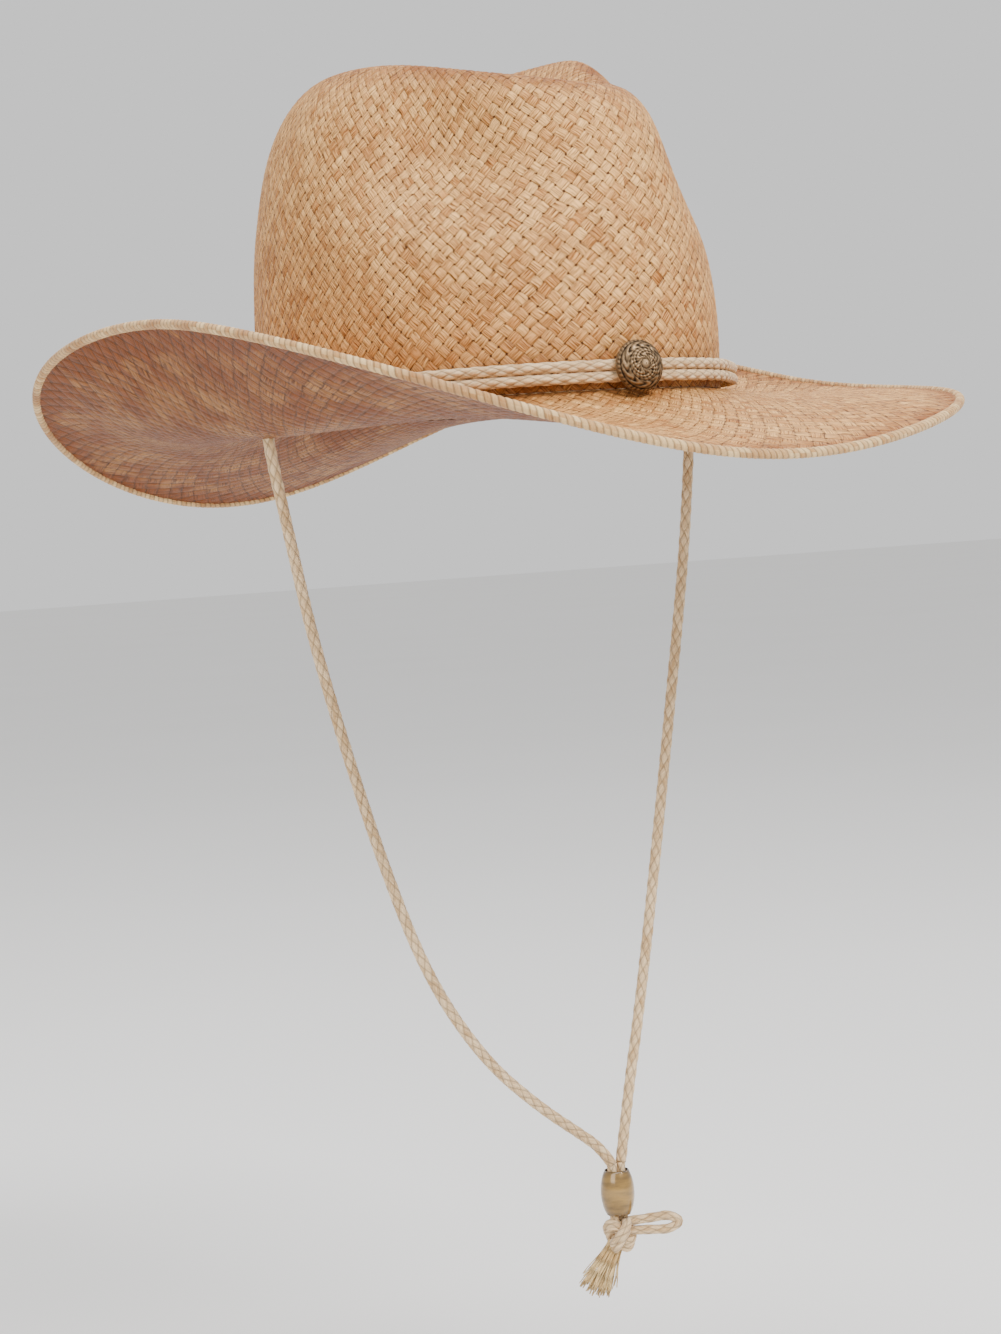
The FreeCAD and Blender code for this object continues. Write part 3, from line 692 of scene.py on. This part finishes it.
# --- settings -----------------------------------------------------------------------

def colour_setting(name, description, code):
    return bpy.props.FloatVectorProperty(
        name=name, description=description, subtype="COLOR", size=4, min=0.0, max=1.0,
        default=linear(code))


class HatSettings(bpy.types.PropertyGroup):
    straw_light: colour_setting("Light straw", "Paler strips of the weave", "#F8C27A")
    straw_dark: colour_setting("Dark straw", "Darker strips of the weave", "#AD6626")
    # Also laid on the brim's underside, partly as painted shade
    stain: colour_setting("Toasted straw", "Colour of the toasted parts", "#8A4818")
    cord_light: colour_setting("Light cord", "Outer fibres of the braided cord", "#EACDA2")
    cord_dark: colour_setting("Dark cord", "Inner fibres of the braided cord", "#B08A5C")
    relief: bpy.props.FloatProperty(
        name="Weave relief", description="Height of the strips over each other",
        default=0.0009, unit="LENGTH")
    cells: bpy.props.IntProperty(
        name="Strips round the crown", description="Number of strips each way round the head line",
        default=104)
    mesh_step: bpy.props.FloatProperty(
        name="Mesh step", description="Distance between points of the straw, in millimetres",
        default=1.5)
    key_light: bpy.props.FloatProperty(
        name="Key light", description="Strength of the main lamp", default=58.0, unit="POWER")


# --- operators ------------------------------------------------------------------------

def cells_pitch(cells):
    """Width of one lattice step along the head line, in millimetres."""
    line = polar(oval(CROWN_LENGTH, CROWN_WIDTH, ring_angles(360)), ring_angles(360), 0.0)
    return np.linalg.norm(np.roll(line, -1, axis=0) - line, axis=1).sum() / cells


def crown_uv(faces, wall, top, rim, columns, cells):
    """Corner coordinates of the crown: the wall's lattice up to the rim and the top's inside it."""
    uv = []
    for face in faces:
        rows = [v // columns for v in face]
        js = [v % columns for v in face]
        on_top = max(rows) > rim
        p, q = top if on_top else wall
        wrap = cells if max(js) == columns - 1 and min(js) == 0 and not on_top else 0
        for i, j in zip(rows, js):
            extra = 0 if j else wrap
            uv.append((p[i, j] + extra, q[i, j] + extra))
    return uv


class HAT_OT_crown(bpy.types.Operator):
    """Builds the woven crown with its pinched front and hollow top"""
    bl_idname = "hat.crown"
    bl_label = "Crown"

    def execute(self, context):
        settings = context.scene.straw_hat
        net, columns, cells = crown_net(), CROWN_COLUMNS, settings.cells
        places = even_places(net, settings.mesh_step)
        outer = surface(net, places, columns)
        rim = np.searchsorted(places, len(WALL_ROWS) - 2.2)
        runs = np.linalg.norm(np.diff(outer, axis=0), axis=2)
        rise = np.vstack([np.zeros(columns), np.cumsum(runs, axis=0)]) / cells_pitch(cells)
        lay = cells * ring_angles(columns)[None, :] / TURN
        wall = lay + rise, lay - rise
        pitch = cells_pitch(cells) / math.sqrt(2)
        top = (outer[..., 0] + outer[..., 1]) / pitch, (outer[..., 0] - outer[..., 1]) / pitch
        is_top = np.arange(len(places))[:, None] > rim
        p, q = (np.where(is_top, *pair) for pair in zip(top, wall))
        relief = CROWN_RELIEF * (weave_height(p, q) - 1)
        lining_rows = np.linspace(0, len(places) - 1, 42).astype(int)
        normals = grid_normals(outer)
        inner = (outer - normals * STRAW)[lining_rows]
        inner[0, :, 2] = outer[0, :, 2]
        shown = outer + normals * relief[..., None]
        shown[0, :, 2] = 0.0
        rows, low_rows = len(shown) - 1, len(inner) - 1
        points = np.concatenate([shown[:-1].reshape(-1, 3), inner[:-1].reshape(-1, 3),
                                 outer[-1, :1], inner[-1, :1]])
        first = rows * columns
        shell = grid_faces(rows, columns)
        lining = grid_faces(low_rows, columns, first, False)
        foot = ring_gap(first, 0, columns)
        apex, low_apex = len(points) - 2, len(points) - 1
        high, low = first - columns, first + (low_rows - 1) * columns
        caps = []
        for j in range(columns):
            k = (j + 1) % columns
            caps.extend([(high + j, high + k, apex), (low + k, low + j, low_apex)])
        uv = crown_uv(shell, wall, top, rim, columns, cells)
        uv += quad_uv(lining, *(part[lining_rows][:-1].ravel() for part in wall), first, columns, cells)
        uv += [(0.0, 0.0)] * (4 * len(foot) + 3 * len(caps))
        outside = np.concatenate([np.ones(first), np.zeros(len(points) - first)])
        share = np.concatenate([np.repeat(places[:-1], columns), np.zeros(len(points) - first)])
        stain = 0.95 * outside * (bell(points[:, 2], 0, 16) + bell(share, len(WALL_ROWS) - 2.0, 1.3))
        material = material_from("Woven raffia straw", straw_looks, settings)
        piece = make_piece("crown_weave", points, shell + lining + foot + caps, material, uv,
                           {"stain": stain})
        fit_out(piece, "root", "crown")
        return {"FINISHED"}


class HAT_OT_brim(bpy.types.Operator):
    """Builds the woven brim, curled up at the sides"""
    bl_idname = "hat.brim"
    bl_label = "Brim"

    def execute(self, context):
        settings = context.scene.straw_hat
        net, columns, cells = brim_net(), BRIM_COLUMNS, BRIM_CELLS
        places = even_places(net, settings.mesh_step * 1.15)
        top = surface(net, places, columns)
        normals = -grid_normals(top)
        reach = np.linalg.norm(top[..., :2], axis=2)
        spread = np.log(reach / reach[:1]) * cells / TURN
        lay = cells * ring_angles(columns)[None, :] / TURN
        p, q = lay + spread, lay - spread
        relief = BRIM_RELIEF * (weave_height(p, q) - 1)[..., None]
        upper = top + normals * relief
        lower = top - normals * (STRAW + relief)
        points = np.concatenate([upper.reshape(-1, 3), lower.reshape(-1, 3)])
        rows = len(places)
        first, rim = rows * columns, (rows - 1) * columns
        over = grid_faces(rows, columns, 0, False)
        under = grid_faces(rows, columns, first, True)
        ends = ring_gap(0, first, columns, False) + ring_gap(rim, first + rim, columns)
        uv = quad_uv(over, p.ravel(), q.ravel(), 0, columns, cells)
        uv += quad_uv(under, p.ravel(), q.ravel(), first, columns, cells)
        uv += [(0.0, 0.0)] * 4 * len(ends)
        share = np.repeat(np.linspace(0, 1, rows), columns)
        stain = 0.22 + 0.85 * smooth(0.82, 1.0, share) + 0.6 * bell(share, 0, 0.14)
        material = material_from("Woven raffia straw", straw_looks, settings)
        # The underside's marks are raised for a browner toast that is partly painted shade beneath the
        # brim
        piece = make_piece("brim_weave", points, over + under + ends, material, uv,
                           {"stain": np.concatenate([stain, stain + 0.6]),
                            "under": np.concatenate([0 * stain, 0 * stain + 1])})
        fit_out(piece, "root", "brim")
        return {"FINISHED"}


class HAT_OT_edge(bpy.types.Operator):
    """Builds the rolled edge, overcast with twisted straw"""
    bl_idname = "hat.edge"
    bl_label = "Rolled edge"

    def execute(self, context):
        net = brim_net()
        line = surface(net, [net.shape[0] - 3.0], 720)[0]
        line[:, 2] -= STRAW / 2
        line = even_line(line, EDGE_STEP, closed=True)
        points, faces, _uv = tube_mesh(line, EDGE_RADIUS, EDGE_SIDES, closed=True)
        count = len(line)
        twists = round(count * EDGE_STEP / EDGE_PITCH)
        turn = np.tile(ring_angles(EDGE_SIDES), count)
        step = np.repeat(np.arange(count) / count, EDGE_SIDES)
        phase = EDGE_STRANDS * (turn / TURN + twists * step)
        bulge = 1 - 0.17 * abs(phase % 1 * 2 - 1) ** 2.5
        middle = np.repeat(line, EDGE_SIDES, axis=0)
        points = middle + (points - middle) * bulge[:, None]
        side, ahead = EDGE_STRANDS / EDGE_SIDES, EDGE_STRANDS * twists / count
        uv = []
        for i in range(count):
            run = i * EDGE_STEP / EDGE_PITCH
            for j in range(EDGE_SIDES):
                low = side * j + ahead * i
                uv.extend([(low, run), (low + ahead, run + 0.15), (low + ahead + side, run + 0.15),
                           (low + side, run)])
        material = material_from("Overcast straw edge", twist_looks, linear("#E8C690"),
                                 linear("#AE7B42"), linear("#8E5222"))
        tube_piece("edge_overcast", (points, faces, uv), material, "root", "brim_edge_roll")
        return {"FINISHED"}


class HAT_OT_sweatband(bpy.types.Operator):
    """Builds the cloth sweatband inside the head opening"""
    bl_idname = "hat.sweatband"
    bl_label = "Sweatband"

    def execute(self, context):
        columns, heights = 240, np.linspace(0, 1, 17)
        angle = ring_angles(columns)
        base = oval(CROWN_LENGTH, CROWN_WIDTH, angle) - STRAW - BAND_FOOT
        outer, inner = [], []
        for share in heights:
            swell = 0.35 * math.sin(math.pi * share)
            hem = 0.35 * (bell(share, 0.1, 0.04) + bell(share, 0.9, 0.04))
            z = BAND_FOOT + BAND_HEIGHT * share
            outer.append(polar(base, angle, z))
            inner.append(polar(base - BAND_THICKNESS - swell + hem, angle, z))
        rows = len(heights)
        points = np.concatenate([np.array(outer).reshape(-1, 3), np.array(inner).reshape(-1, 3)])
        first, head = rows * columns, (rows - 1) * columns
        back = grid_faces(rows, columns, 0, True)
        face = grid_faces(rows, columns, first, False)
        ends = ring_gap(first, 0, columns) + ring_gap(head, first + head, columns)
        p = np.tile(angle / TURN * BAND_LENGTH, rows)
        q = np.repeat(heights * BAND_HEIGHT, columns)
        uv = quad_uv(back, p, q, 0, columns, 0) + quad_uv(face, p, q, first, columns, 0)
        uv += [(0.0, 0.0)] * 4 * len(ends)
        material = material_from("Cotton twill sweatband", cloth_looks, linear("#C9A67A"),
                                 linear("#94704A"))
        piece = make_piece("sweatband_cloth", points, back + face + ends, material, uv)
        fit_out(piece, "root", "sweatband")
        return {"FINISHED"}


def band_line(turn):
    """The middle of one turn of the hat band: wider round the concho and loose at one side."""
    angle = ring_angles(600)
    degrees = np.degrees(angle)
    front = abs((degrees + 4 + 180) % 360 - 180)
    loose = (degrees - 60 + 180) % 360 - 180
    gap = CORD_CLEARANCE + 1.75 * (1 - smooth(26, 44, front)) + 5.2 * bell(loose, 0, 17)
    off = 2 * (gap + CORD / 2)
    return polar(oval(CROWN_LENGTH + off, CROWN_WIDTH + off, angle), angle,
                 CORD / 2 + TURN_RISE + turn * TURN_STEP)


def braid_material(context):
    settings = context.scene.straw_hat
    return material_from("Braided cotton cord", cord_looks, settings.cord_light, settings.cord_dark)


class HAT_OT_hat_band(bpy.types.Operator):
    """Builds the two turns of braided cord round the crown"""
    bl_idname = "hat.hat_band"
    bl_label = "Hat band"

    def execute(self, context):
        for turn, name in enumerate(("lower", "upper")):
            line = even_line(band_line(turn), 0.8, closed=True)
            shape = tube_mesh(line, CORD / 2 * 1.03, 20, closed=True, relief=CORD_RELIEF)
            tube_piece("band_braid_" + name, shape, braid_material(context), "root",
                       "hat_band_cord_" + name)
        return {"FINISHED"}


def concho_relief(share, turn):
    """Rise of the pattern at a share of the radius: rope border, leaves, curls and a boss."""
    rope = bell(share, 0.955, 0.03) * np.cos(34 * turn + 26 * share) * 0.16
    groove = -0.24 * bell(share, 0.9, 0.02) - 0.2 * bell(share, 0.62, 0.018)
    leaf = 0.2 * bell(share, 0.76, 0.1) * np.cos(11 * turn + 4 * np.sin(15 * share))
    curl = 0.17 * bell(share, 0.4, 0.16) * np.cos(7 * turn + 5 * np.sin(13 * share))
    vein = 0.1 * bell(share, 0.5, 0.3) * np.cos(19 * turn - 24 * share)
    boss = 0.22 * bell(share, 0, 0.13) - 0.16 * bell(share, 0.19, 0.03)
    return rope + groove + leaf + curl + vein + boss


class HAT_OT_concho(bpy.types.Operator):
    """Builds the domed concho with its engraved rings and leaves"""
    bl_idname = "hat.concho"
    bl_label = "Concho"

    def execute(self, context):
        front_curve = CROWN_WIDTH**2 / 4 / (CROWN_LENGTH / 2)
        back_face = SHANK_GAP + SHANK_WIRE + CORD + 2 * CORD_CLEARANCE
        base = back_face + CONCHO_SHEET
        columns = 144
        turn = ring_angles(columns)
        shares = np.concatenate([np.linspace(1.0, 0.94, 4), np.linspace(0.925, 0.03, 52)])

        def ring(share, rise):
            reach = CONCHO_RADIUS * share
            return np.stack([reach * np.cos(turn), reach * np.sin(turn), base + rise + 0 * turn], -1)

        rings, hollow = [], []
        for share in shares:
            detail = concho_relief(share, turn)
            rings.append(ring(share, CONCHO_DOME * math.sqrt(1 - share**2) ** 1.15 + detail))
            hollow.append(np.clip(0.46 - 2.2 * detail, 0, 1))
        rings += [ring(1.0, 0), ring(0.5, 0)]
        points = np.concatenate(rings + [[[0, 0, base + CONCHO_DOME]], [[0, 0, base]]])
        count = len(shares)
        faces = grid_faces(count, columns)
        faces += grid_faces(2, columns, count * columns, False)
        faces += ring_gap(count * columns, 0, columns)
        apex, foot = len(points) - 2, len(points) - 1
        high, low = (count - 1) * columns, (count + 1) * columns
        for j in range(columns):
            k = (j + 1) % columns
            faces.extend([(high + j, high + k, apex), (low + k, low + j, foot)])
        hollow = np.concatenate(hollow + [np.full(2 * columns + 2, 0.8)])
        lean = Matrix.Rotation(math.radians(-CONCHO_TILT), 4, "X")
        place = Matrix.Translation((0, front_curve - CROWN_LENGTH / 2, 0)) \
            @ Matrix.Rotation(math.radians(CONCHO_ANGLE), 4, "Z") \
            @ Matrix.Translation((0, -front_curve, CORD + TURN_RISE + TURN_GAP / 2)) \
            @ Matrix.Rotation(math.radians(90), 4, "X") \
            @ Matrix.Translation((0, CONCHO_RISE, back_face)) @ lean \
            @ Matrix.Translation((0, 0, -back_face))
        points = np.array([tuple(place @ Vector(p)) for p in points])
        material = material_from("Antique brass concho", brass_looks, linear("#A48866"),
                                 linear("#20160D"), 0.9)
        piece = make_piece("concho_face", points, faces, material, None, {"hollow": hollow})
        outward(piece)
        fit_out(piece, "concho", "concho_dome")
        low, high = node_box("concho_dome")
        middle = points.mean(axis=0)
        if np.any(middle < low - 3) or np.any(middle > high + 3):
            raise RuntimeError("the concho isn't where the part has it")
        return {"FINISHED"}


class HAT_OT_bead(bpy.types.Operator):
    """Shapes the sliding bead from a ball cut at both ends and bored"""
    bl_idname = "hat.bead"
    bl_label = "Bead"

    def execute(self, context):
        low, high = (Vector(corner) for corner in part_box("chin_bead"))
        middle, half = (low + high) / 2, (high.z - low.z) / 2
        radius = (high.x - low.x) / 2
        stretch = half / math.sqrt(1 - (BEAD_BORE * MM / radius) ** 2) / radius
        bpy.ops.object.select_all(action="DESELECT")
        bpy.ops.mesh.primitive_uv_sphere_add(segments=64, ring_count=40, radius=radius,
                                             location=middle)
        piece = context.active_object
        piece.name = "bead_ball"
        bpy.ops.object.mode_set(mode="EDIT")
        bpy.ops.mesh.select_all(action="SELECT")
        bpy.ops.transform.resize(value=(1, 1, stretch), center_override=middle)
        for level, upper in ((middle.z + half, True), (middle.z - half, False)):
            bpy.ops.mesh.select_all(action="SELECT")
            bpy.ops.mesh.bisect(plane_co=(middle.x, middle.y, level), plane_no=(0, 0, 1),
                                clear_outer=upper, clear_inner=not upper)
        bpy.ops.mesh.select_all(action="DESELECT")
        bpy.ops.mesh.select_non_manifold()
        bpy.ops.mesh.bridge_edge_loops()
        bpy.ops.mesh.select_all(action="SELECT")
        bpy.ops.mesh.normals_make_consistent(inside=False)
        bpy.ops.object.mode_set(mode="OBJECT")
        bpy.ops.object.transform_apply(location=True, rotation=True, scale=True)
        bevel = piece.modifiers.new("rim", "BEVEL")
        bevel.width, bevel.segments, bevel.limit_method, bevel.angle_limit = 0.0006, 3, "ANGLE", 0.8
        bpy.ops.object.modifier_apply(modifier="rim")
        piece.data.shade_smooth()
        # Share of the way to either end, read by the bead's finish for its painted dark reflection
        mark = piece.data.attributes.new("hollow", "FLOAT", "POINT")
        for vertex, value in zip(piece.data.vertices, mark.data):
            value.value = abs(vertex.co.z - middle.z) / half
        piece.data.materials.append(material_from("Lacquered antique brass bead", bead_looks))
        fit_out(piece, "bead", "chin_bead")
        return {"FINISHED"}


class HAT_OT_chin_cord(bpy.types.Operator):
    """Builds the chin cord's strands, its knots, loop and frayed end"""
    bl_idname = "hat.chin_cord"
    bl_label = "Chin cord"

    def execute(self, context):
        material = braid_material(context)
        low, high = node_box("chin_bead")
        middle = (low + high) / 2
        knot_low, knot_high = node_box("chin_cord_end_knot")
        centre = (knot_low + knot_high) / 2

        routes, strands = {}, {}
        for side, route in (("right", RIGHT_STRAND), ("left", LEFT_STRAND)):
            routes[side] = even_line(spline_points(route), CORD_STEP)
            shape = tube_mesh(routes[side], CORD / 2 * 1.1, 20, relief=CORD_RELIEF)
            strands[side] = tube_piece("chin_braid_" + side, shape, material, None,
                                       "chin_cord_" + side)
            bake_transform(strands[side])

        tubes = []
        for side in (-1, 1):
            x, y = middle[0] + side * (CORD + TURN_GAP) / 2, middle[1]
            line = np.array([(x, y, high[2] + 2.6), (x, y, high[2]), (x, y, knot_high[2] - 3)])
            tubes.append(tube_mesh(even_line(line, CORD_STEP), CORD / 2, 20, relief=0.16))
        pair = tube_piece("chin_braid_pair", join_tubes(tubes), material, None, "chin_cord_pair")
        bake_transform(pair)

        for side, x in (("right", RIGHT_STRAND[0][0]), ("left", LEFT_STRAND[0][0])):
            node = "chin_cord_knot_" + side
            height = sum(corner[2] for corner in node_box(node)) / 2 + 0.3
            tube_piece("stopper_knot_" + side, knot_tube((x, 0, height), 11.0, 8.6), material, "root",
                       node)

        knots = [knot_tube(centre + (0, 0, shift), width, 12.5) for shift, width in END_KNOT_TURNS]
        end_knot = tube_piece("end_knot", join_tubes(knots), material, "root", "chin_cord_end_knot")

        start = centre + (0, 0, 3)
        route = [tuple(start + LOOP_WAY * reach + (0, 0, drop + reach * 0.05))
                 for reach, drop in LOOP_ROUTE]
        shape = tube_mesh(even_line(spline_points(route), KNOT_STEP), CORD / 2 * 0.95, 18,
                          relief=KNOT_RELIEF)
        bight = tube_piece("end_loop", shape, material, "root", "chin_cord_loop")

        tassel = self.tassel(centre)
        return {"FINISHED"}

    def tassel(self, centre):
        """The cords' frayed ends: loose threads that fan out and curl a little."""
        draw = random.Random(7)
        lean = TASSEL_WAY / np.linalg.norm(TASSEL_WAY)
        side = np.cross(lean, (0, 1.0, 0))
        side /= np.linalg.norm(side)
        other = np.cross(lean, side)
        threads = []
        for _ in range(230):
            angle, reach = draw.uniform(0, TURN), math.sqrt(draw.random())
            across = side * math.cos(angle) + other * math.sin(angle)
            start = centre + lean * 3.5 + across * reach * 3.2
            length = draw.uniform(17, 23.5)
            drift = across * reach * draw.uniform(2.0, 5.0) + np.array(
                [draw.uniform(-1, 1), draw.uniform(-1, 1), 0]) * 1.3
            wave = draw.uniform(0, TURN)
            t = np.linspace(0, 1, 9)[:, None]
            curl = 0.5 * t * np.sin(5 * t + wave)
            line = start + lean * length * t + drift * t**1.4 + side * curl + other * curl * 0.6
            thick = draw.uniform(0.24, 0.42) * np.linspace(1, 0.6, len(line))
            threads.append(tube_mesh(line, thick, 6, plies=1, pitch=3.0))
        material = material_from("Frayed cotton threads", twist_looks, linear("#F0D29A"),
                                 linear("#C39A5C"))
        return tube_piece("frayed_tassel", join_tubes(threads), material, "root",
                          "chin_cord_tassel")


class HAT_OT_fittings(bpy.types.Operator):
    """Gives the wire, the stitches and the concho's back their finishes"""
    bl_idname = "hat.fittings"
    bl_label = "Wire, stitches and concho back"

    def execute(self, context):
        worn = (brass_looks, linear("#8F7A50"), linear("#241A0E"), 0.5)
        finishes = {
            "brim_wire": ("Drawn brim wire", steel_looks),
            "sweatband_stitches": ("Waxed cotton thread", thread_looks),
            "concho_back": ("Antique brass back", *worn),
            "concho_shank": ("Antique brass shank", *worn),
        }
        for node, finish in finishes.items():
            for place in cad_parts[node].material_slots:
                place.material = material_from(*finish)
        return {"FINISHED"}


class HAT_OT_stage(bpy.types.Operator):
    """Sets the pale floor, the soft lamps and the camera"""
    bl_idname = "hat.stage"
    bl_label = "Studio"

    def execute(self, context):
        low, _high = FRAME_BOX
        bpy.ops.object.select_all(action="DESELECT")
        bpy.ops.mesh.primitive_plane_add(size=30, location=(0, 0, low[2] - 0.05))
        floor = context.active_object
        floor.name = "studio_floor"
        floor.data.materials.append(material_from("Pale studio floor", floor_looks))

        world = bpy.data.worlds.new("Studio air")
        world.use_nodes = True
        world.node_tree.nodes["Background"].inputs["Color"].default_value = linear("#F4F4F4")
        world.node_tree.nodes["Background"].inputs["Strength"].default_value = 1.0
        context.scene.world = world

        strength = context.scene.straw_hat.key_light
        lamps = (("key", (0.35, -1.6, 1.5), 0.8, 1.0), ("fill", (-1.7, -0.7, 0.7), 1.2, 0.3),
                 ("top", (0.1, 0.4, 2.0), 1.2, 0.5))
        for name, place, size, share in lamps:
            lamp = bpy.data.lights.new(name, "AREA")
            lamp.energy, lamp.size = strength * share, size
            holder = bpy.data.objects.new(name, lamp)
            holder.location = place
            aim = Vector((0, 0, 0.03)) - Vector(place)
            holder.rotation_euler = aim.to_track_quat("-Z", "Y").to_euler()
            context.collection.objects.link(holder)

        yaw, tilt, roll = (math.radians(a) for a in (34.2, -2.84, 3.44))
        back = Vector((-math.sin(yaw) * math.cos(tilt), -math.cos(yaw) * math.cos(tilt),
                       -math.sin(tilt)))
        across = Vector((math.cos(yaw), -math.sin(yaw), 0))
        up = across.cross(-back)
        right = across * math.cos(roll) - up * math.sin(roll)
        rise = across * math.sin(roll) + up * math.cos(roll)
        lens = bpy.data.cameras.new("View")
        lens.sensor_fit, lens.sensor_height, lens.lens = "VERTICAL", 36.0, 81.28
        camera = bpy.data.objects.new("View", lens)
        spot = right * 0.00534 - rise * 0.1041 + back * 1.2
        camera.matrix_world = Matrix((
            (right.x, rise.x, back.x, spot.x), (right.y, rise.y, back.y, spot.y),
            (right.z, rise.z, back.z, spot.z), (0, 0, 0, 1)))
        context.collection.objects.link(camera)
        context.scene.camera = camera
        return {"FINISHED"}


OPERATORS = (HAT_OT_crown, HAT_OT_brim, HAT_OT_edge, HAT_OT_sweatband, HAT_OT_hat_band,
             HAT_OT_concho, HAT_OT_bead, HAT_OT_chin_cord, HAT_OT_fittings, HAT_OT_stage)


class HAT_PT_panel(bpy.types.Panel):
    bl_idname = "HAT_PT_panel"
    bl_label = "Straw cowboy hat"
    bl_space_type = "VIEW_3D"
    bl_region_type = "UI"
    bl_category = "Hat"

    def draw(self, context):
        settings = context.scene.straw_hat
        for name in HatSettings.__annotations__:
            self.layout.prop(settings, name)
        for operator in OPERATORS:
            self.layout.operator(operator.bl_idname)


CLASSES = (HatSettings,) + OPERATORS + (HAT_PT_panel,)


def register():
    for item in CLASSES:
        bpy.utils.register_class(item)
    bpy.types.Scene.straw_hat = bpy.props.PointerProperty(type=HatSettings)


def unregister():
    del bpy.types.Scene.straw_hat
    for item in reversed(CLASSES):
        bpy.utils.unregister_class(item)


def main():
    register()
    for operator in OPERATORS:
        group, name = operator.bl_idname.split(".")
        getattr(getattr(bpy.ops, group), name)()


if __name__ == "__main__":
    main()
